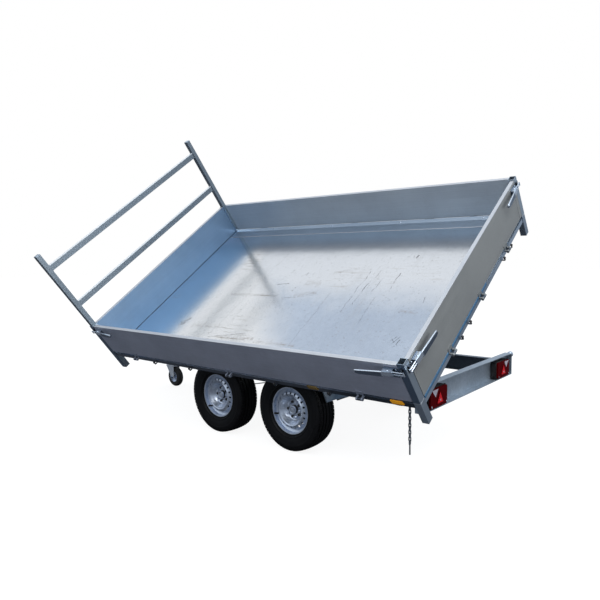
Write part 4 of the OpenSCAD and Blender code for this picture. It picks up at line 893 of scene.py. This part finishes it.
def trim_rack():
    """Caps on the rack's uprights, pale strips along its bars' tops as a painted highlight, and weld
    beads at their ends.
    """
    cap_half, highlight_half, weld_off = 0.0205, 0.0128, 0.0265
    for label, side in SIDES:
        y = side * RACK_Y
        cap = plate(f"rack_cap_{label}", (RACK_X - cap_half, y - cap_half, RACK_TOP - 0.004),
                    (RACK_X + cap_half, y + cap_half, RACK_TOP + 0.002),
                    upward, 0.004, 0.0015, 0.0015)
        mount(cap, "bed", "galvanised_sheet", tipped=True)
    # Painted highlight: pale strips laid along the bars' top edges
    for name, height in zip(("rack_lower_bar_highlight", "rack_upper_bar_highlight"), RACK_BARS):
        top = height + BAR_HALF
        edge = plate(name, (RACK_X - highlight_half, -BAR_END, top - 0.004),
                     (RACK_X + highlight_half, BAR_END, top + 0.0008), upward, 0.004, 0.0004, 0.0008, 1)
        mount(edge, "bed", "galvanised_sheet", "bar_highlight", tipped=True)
    bead = block("weld_seed", (-0.002, -0.021, 0.0), (0.002, 0.021, 0.0035))
    subdivide(bead, 5)
    soften(bead, 0.0012, 1)
    places = []
    for height in RACK_BARS:
        for side in (1, -1):
            lying = turn(side * math.pi / 2, "X") @ turn(math.pi / 2, "Z")
            for z in (height - weld_off, height + weld_off):
                places.append(TIPPED @ Matrix.Translation((RACK_X, side * BAR_END, z)) @ lying)
    mount(scatter(bead, "rack_welds", places), "bed", "galvanised_sheet")
    discard(bead)


def trim_edge_rails():
    """Black caps on the rope hooks, and seams round the rear posts' feet."""
    for label, side in SIDES:
        low, high = sorted((side * (BED_SIDE - 0.048), side * (BED_SIDE + 0.0008)))
        seam = block(f"rear_{label}_post_seam", (BED_REAR - 0.0008, low, FLOOR - 0.0016),
                     (BED_REAR + 0.047, high, FLOOR + 0.0016))
        soften(seam, 0.0006, 1)
        mount(seam, "bed", "galvanised_sheet", "pale_rim", tipped=True)
    knob = ball("knob_seed", 0.0095)
    cut_below(knob, -0.006)
    places = [TIPPED @ at((BED_MIDDLE + share * BED_LONG, side * HOOK_Y, HOOK_Z))
              for share in SIDE_HOOKS for side in (1, -1)]
    places += [TIPPED @ at((HOOK_X, share * BED_WIDE, HOOK_Z)) for share in REAR_HOOKS]
    mount(scatter(knob, "hook_caps", places), "bed", "box_plastic")
    discard(knob)


def line_rear_edge():
    """Blue-tinted strip along the sheet's edge below the tailgate."""
    strip_right, strip_left = -0.120, 0.893
    blue_strip = plate("rear_edge_blue_strip", (BED_REAR - 0.0006, strip_right, FLOOR - 0.013),
                 (BED_REAR + 0.006, strip_left, FLOOR + 0.0085), rearward, 0.002, 0.0004, 0.0008, 1)
    mount(blue_strip, "bed", "galvanised_sheet", "blue_zinc", tipped=True)


def latch_grip(hand):
    """Folded grip on a lever: tapered, with a pressed panel, drawn along X from the wall's end."""
    outline = [(0.094, -0.038), (0.250, -0.029), (0.2685, -0.020), (0.2685, -0.006), (0.260, 0.0008),
               (0.094, 0.0008)]
    corners = [(hand * u, LEVER_TOP + drop) for u, drop in outline]
    grip = prism("latch_grip", corners, 0.0150, 0.0250, "Y")
    inset_face(grip, leftward, 0.0045, -0.0012)
    soften(grip, 0.0012)
    hinge = Matrix.Translation((0.0, 0.018, 0.0))
    lean = turn(hand * math.atan2(0.020, 0.268), "Z")
    grip.data.transform(hinge @ lean @ hinge.inverted())
    return grip


def trim_latches():
    """Rivets in the latches' bases, pin heads on their pivots and grips on their levers."""
    rivet = dome_rivet(0.0055, 0.6)
    rivets = [(0.012, LATCH_LOW + 0.012), (0.012, LATCH_LOW + 0.060), (0.080, LATCH_LOW + 0.010)]
    pin_along, base_out, pin_out = 0.058, 0.004, 0.018
    walls = {  # place on the wall, the way out of it, turn of its grips, its two ends and its finish
        "left_drop_side": (lambda u, out: (u, BED_SIDE + out), (0, 1, 0), 0.0,
                           ((SIDE_FROM, 1), (SIDE_TO, -1)), "side_fittings"),
        "right_drop_side": (lambda u, out: (u, -BED_SIDE - out), (0, -1, 0), math.pi,
                            ((SIDE_TO, -1), (SIDE_FROM, 1)), "side_fittings"),
        "rear_gate": (lambda u, out: (BED_REAR - out, u), (-1, 0, 0), math.pi / 2,
                      ((-GATE_HALF, 1), (GATE_HALF, -1)), "gate_fittings"),
    }
    for body, (on_wall, outward, _, ends, _) in walls.items():
        places = []
        for end, way in ends:
            places += [TIPPED @ at((*on_wall(end + way * u, base_out), z), outward)
                       for u, z in rivets]
            places.append(TIPPED @ at((*on_wall(end + way * pin_along, pin_out), PIN_Z)))
        mount(scatter(rivet, f"{body}_latch_rivets", places), body, "zinc_fittings")
    discard(rivet)
    for body, (on_wall, _, angle, ends, finish) in walls.items():
        grips = []
        for hand, (end, _) in zip((1, -1), ends):
            grips.append(latch_grip(hand))
            corner = Matrix.Translation((*on_wall(end, 0.0), 0.0))
            grips[-1].data.transform(TIPPED @ corner @ turn(angle, "Z"))
        mount(join(f"{body}_latch_grips", grips), body, "zinc_fittings", finish)


# Rear lamps

def mirrored(outline, side):
    return [(side * y, z) for y, z in outline]


def trim_lamps():
    """Gaskets, screws, triangular reflectors with a pale dome on each as a painted highlight, and
    clear windows on both rear lamps.
    """
    screw = rod("screw_seed", 16, 0.0055, 0.003, 0.0015)
    inset_face(screw, upward, 0.0012, 0.0008)
    inset_face(screw, upward_within(0.001), 0.0022, -0.0012)
    glint = dome_rivet(0.007, 0.5)
    glint_y, glint_z, screw_in = 0.522, 0.470, 0.016
    reflex_front, window_back = LENS_X - 0.0042, LENS_BACK_X - 0.009
    backward = (-1, 0, 0)
    for label, side in SIDES:
        y0, y1 = sorted((side * LAMP_IN, side * LAMP_OUT))
        gasket = plate(f"{label}_lamp_gasket", (LENS_BACK_X - 0.0045, y0 - 0.002, LAMP_LOW - 0.002),
                       (LENS_BACK_X + 0.003, y1 + 0.002, LAMP_TOP + 0.002),
                       rearward, 0.003, 0.0, 0.0015)
        mount(gasket, "chassis", "lamp_black")
        reflex = prism(f"{label}_lamp_reflex", mirrored(REFLEX_TRIANGLE, side), reflex_front,
                       LENS_X - 0.0028, "X")
        inset_face(reflex, rearward, 0.004, 0.0008)
        mount(reflex, "chassis", "lamp_red", "reflex_red")
        # Painted highlight: a pale dome in each reflector's middle stands for the bright spot of the
        # bulb
        places = [at((reflex_front, side * glint_y, glint_z), backward)]
        mount(scatter(glint, f"{label}_lamp_glint", places), "chassis", "lamp_clear")
        places = [at((LENS_X, side * y, LAMP_LOW + screw_in), backward)
                  for y in (LAMP_IN + screw_in, LAMP_OUT - screw_in)]
        mount(scatter(screw, f"{label}_lamp_screws", places), "chassis", "zinc_fittings")
    discard(screw, glint)
    windows, fillers = [], []
    for _, side in SIDES:
        window = prism("window", mirrored(CLEAR_WINDOW, side), LENS_X - 0.0012, window_back, "X")
        inset_face(window, rearward, 0.004, 0.0006)
        windows.append(window)
        filler = prism("filler", mirrored(LENS_CORNER, side), LENS_X, window_back, "X")
        soften(filler, 0.0006, 1)
        fillers.append(filler)
    clear = join("lamp_clear_windows", windows)
    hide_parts("lamp_clear_lenses")
    mount(clear, "chassis", "lamp_clear")
    mount(join("lamp_corner_lenses", fillers), "chassis", "lamp_red")


# Wheels

def tyre_outline():
    """Section of a road tyre, outer face first: along the axle and out from it."""
    wall = [(0.0690, 0.1700), (0.0715, 0.1815), (0.0790, 0.1850), (0.0815, 0.1890), (0.0855, 0.1900),
            (0.0865, 0.1945), (0.0850, 0.1975), (0.0885, 0.2100), (0.0905, 0.2250), (0.0907, 0.2380),
            (0.0898, 0.2480), (0.0905, 0.2492), (0.0897, 0.2505), (0.0880, 0.2600), (0.0845, 0.2700),
            (0.0800, 0.2790), (0.0760, 0.2835)]
    ribs = {y: WHEEL_R - 0.0006 - CROWN * y * y for y in (0.0405, 0.0225, 0.0125)}
    tread = [(0.0735, 0.2850), (0.0520, 0.2862), (0.0515, 0.2862), (0.0415, 0.2862),
             (0.0405, ribs[0.0405]), (0.0225, ribs[0.0225]), (0.0215, 0.2868), (0.0135, 0.2868),
             (0.0125, ribs[0.0125])]
    lining = [(0.0400, 0.2745), (0.0640, 0.2700), (0.0770, 0.2500), (0.0780, 0.2250),
              (0.0660, 0.1900), (0.0640, 0.1700)]
    outside = wall + tread
    return (outside + [(-y, r) for y, r in reversed(outside)]
            + [(-y, r) for y, r in reversed(lining)] + lining)


def tread_block():
    """Shoulder block of the tread: a low pad with a worn edge, standing on top of the wheel."""
    slant_from, slant_run, slant = 0.06, 0.019, 0.004
    pad = block("tread_seed", (-0.0119, 0.0525, 0.2835), (0.0119, 0.0790, 0.2918))
    subdivide(pad, 2)
    for vertex in pad.data.vertices:
        if vertex.co.z > 0.29:
            vertex.co.z = WHEEL_R - 0.0012 - CROWN * vertex.co.y ** 2
            if vertex.co.y > 0.075:
                vertex.co.z -= 0.004
        if vertex.co.y > slant_from:
            vertex.co.x += slant * (vertex.co.y - slant_from) / slant_run
    soften(pad, 0.0012, 1, 50.0)
    return pad


def build_tyre():
    """Tyre of one spun section, with a row of blocks on each shoulder."""
    outline = tyre_outline()
    tyre = outline_ring("tyre_seed", len(outline), "NOTHING")
    for vertex, (along, out) in zip(tyre.data.vertices, outline):
        vertex.co = (0.0, along, out)
    everything(tyre)
    bpy.ops.mesh.spin(steps=96, angle=math.tau, center=(0, 0, 0), axis=(0, 1, 0))
    bpy.ops.mesh.select_all(action="SELECT")
    bpy.ops.mesh.remove_doubles(threshold=0.00002)
    bpy.ops.mesh.normals_make_consistent(inside=False)
    leave_edit()
    pad = tread_block()
    count = 68
    places = []
    for i in range(count):
        places += [turn(math.tau * i / count, "Y"),
                   turn(math.tau * (i + 0.5) / count, "Y") @ turn(math.pi, "Z")]
    blocks = scatter(pad, "tread_blocks", places)
    discard(pad)
    return join("tyre_seed", [tyre, blocks])


def build_valve():
    """Rubber valve stem with a stepped neck and a cap."""
    valve = rod("valve_seed", 14, 0.0065, 0.010, 0.005)
    steps = [("neck", 0.0020), ("rise", 0.016), ("widen", 1.25), ("rise", 0.010),
             ("chamfer", 0.0012)]
    for step, size in steps:
        top = max(v.co.z for v in valve.data.vertices)
        choose(valve, lambda c, n: n.z > 0.9 and c.z > top - 0.0001)
        if step == "rise":
            bpy.ops.mesh.extrude_region_move(TRANSFORM_OT_translate={"value": (0, 0, size)})
        elif step == "widen":
            bpy.ops.transform.resize(value=(size, size, 1.0), center_override=(0, 0, top))
        else:
            bpy.ops.mesh.inset(thickness=size, depth=size if step == "chamfer" else 0.0)
        leave_edit()
    return valve


def build_hub_trim():
    """Pressed grease cap and five ball-seated wheel bolts, standing upright round the axle."""
    cap = rod("hub_trim_seed", 32, 0.0285, 0.012, 0.037)
    inset_face(cap, upward, 0.004, 0.0015)
    inset_face(cap, upward_within(0.001), 0.005, -0.003)
    inset_face(cap, upward_within(0.001), 0.006, 0.002)
    soften(cap, 0.0008)
    head = rod("head_seed", 6, 0.0108, 0.008, 0.0300)
    inset_face(head, upward, 0.0025, 0.0012)
    inset_face(head, upward_within(0.0001), 0.0025, -0.0035)
    count, ring = 5, Matrix.Translation((0.056, 0, 0))
    places = [turn(math.tau * i / count, "Z") @ ring for i in range(count)]
    heads = scatter(head, "wheel_bolts", places)
    discard(head)
    return join("hub_trim_seed", [cap, heads])


def dress_wheels():
    """Road tyres for the plain ones, valves and hub trim, on each wheel at a turn of its own."""
    tyre, valve, trim = build_tyre(), build_valve(), build_hub_trim()
    valve_out, valve_down, front_turn, rear_turn = 0.052, 0.138, -0.75, -1.25
    for name, (x, side) in WHEELS.items():
        hub = Matrix.Translation((x, side * WHEEL_Y, WHEEL_R))
        cover = scatter(tyre, f"{name}_road_tyre", [hub @ turn(0.37 * x + side, "Y")])
        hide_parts(f"{name}_tyre")
        mount(cover, f"{name}_wheel", "tyre_rubber", angle=40.0)
        round_hub = turn(front_turn if x > 0 else rear_turn, "Y")
        spot = round_hub @ Vector((0.0, side * valve_out, -valve_down))
        stem = scatter(valve, f"{name}_valve", [hub @ at(spot, (0.0, side, 0.25))])
        mount(stem, f"{name}_wheel", "lamp_black")
        centre = scatter(trim, f"{name}_hub_trim", [hub @ at((0, 0, 0), (0, side, 0), 0.2 * x)])
        mount(centre, f"{name}_wheel", "wheel_silver")
    discard(trim, tyre, valve)


# Chassis and drawbar

def trim_guards():
    """Gusset plates behind the mudguards and rivets along their tops."""
    rivet = dome_rivet(0.0055, 0.6)
    corners = [(-0.676, 0.448), (-0.845, 0.446), (-0.694, 0.383), (-0.688, 0.400)]
    plate_in, plate_out = 0.655, 0.6585
    first, pitch, rivet_y, guard_top = -0.55, 0.22, 0.700, 0.608
    for label, side in SIDES:
        low, high = sorted((side * plate_in, side * plate_out))
        gusset = prism(f"{label}_guard_gusset", corners, low, high, "Y")
        soften(gusset, 0.0008, 1)
        mount(gusset, "chassis", "galvanised_sheet")
        places = [at((first + pitch * i, side * rivet_y, guard_top)) for i in range(6)]
        mount(scatter(rivet, f"{label}_guard_rivets", places), "chassis", "zinc_fittings")
    discard(rivet)


def leg_spot(x, out, z):
    """Place on a drawbar leg's outer face, and the direction away from it."""
    along = (LEG_FRONT - LEG_REAR).normalized()
    middle = LEG_REAR + along * ((x - LEG_REAR.x) / along.x)
    away = Vector((-along.y, along.x))
    spot = middle + away * out
    return (spot.x, spot.y, z), (away.x, away.y, 0.0)


def bolt_chassis():
    """Bolts in drawbar legs, coupling, axle seats and rails, and the jockey wheel's axle nuts."""
    bolt = hex_bolt(0.0105, 0.008)
    sides = (1, -1)
    leg_half, leg_x, leg_z = 0.025, (0.70, 0.82, 2.42, 2.50), (0.372, 0.426)
    coupling_x, coupling_y, coupling_z = (2.41, 2.53), 0.056, 0.461
    seat_x, seat_y, seat_z, seat_half = (-0.235, 0.535), 0.505, 0.433, 0.055
    rail_x, rail_z = (-1.31, -1.25, 1.10, 1.15), (0.485, 0.535)
    places = []
    for x in leg_x:
        for z in leg_z:
            spot, away = leg_spot(x, leg_half, z)
            places += [at(spot, away), at((spot[0], -spot[1], z), (away[0], -away[1], 0.0))]
    places += [at((x, side * coupling_y, coupling_z)) for x in coupling_x for side in sides]
    places += [at((x + off, side * seat_y, seat_z), (0, 0, -1))
               for x in seat_x for off in (-seat_half, seat_half) for side in sides]
    places += [at((x, side * RAIL_Y, z), (0, side, 0))
               for x in rail_x for side in sides for z in rail_z]
    mount(scatter(bolt, "chassis_bolts", places), "chassis", "zinc_fittings")
    nuts = [at((2.035, side * 0.0505, 0.105), (0, side, 0)) for side in sides]
    mount(scatter(bolt, "jockey_axle_nuts", nuts), "jockey_caster", "zinc_fittings")
    discard(bolt)


def trim_pump_box():
    """Ribs on the box's walls, a sunk panel in its lid and two draw catches."""
    rib = block("rib_seed", (-0.006, -0.004, 0.0), (0.006, 0.003, 0.150))
    inset_face(rib, lambda c, n: n.y < -0.9, 0.0015, 0.0015)
    pitch, rib_z, margin = 0.06, BOX_LOW.z + 0.02, 0.03
    places = []
    for i in range(4):
        x = BOX_LOW.x + pitch + pitch * i
        places += [Matrix.Translation((x, BOX_LOW.y, rib_z)),
                   Matrix.Translation((x, BOX_HIGH.y, rib_z)) @ turn(math.pi, "Z")]
    mount(scatter(rib, "pump_box_ribs", places), "chassis", "box_plastic")
    lid = plate("pump_box_lid_panel", (BOX_LOW.x + margin, BOX_LOW.y + margin, BOX_HIGH.z - 0.002),
                (BOX_HIGH.x - margin, BOX_HIGH.y - margin, BOX_HIGH.z + 0.004),
                upward, margin, -0.0025, 0.002)
    mount(lid, "chassis", "box_plastic")
    catch = plate("catch_seed", (-0.014, -0.003, -0.035), (0.014, 0.004, 0.030),
                  leftward, 0.005, -0.0015, 0.0012, 1)
    places = [Matrix.Translation((x, BOX_HIGH.y + 0.010, 0.655)) for x in (1.765, 1.915)]
    mount(scatter(catch, "pump_box_catches", places), "chassis", "zinc_fittings")
    discard(rib, catch)


make_finishes()
place_camera()
light_studio()
lay_floor()
dress_nodes()
trim_sides()
finish_floor()
trim_rack()
trim_edge_rails()
line_rear_edge()
trim_latches()
trim_lamps()
dress_wheels()
trim_guards()
bolt_chassis()
trim_pump_box()
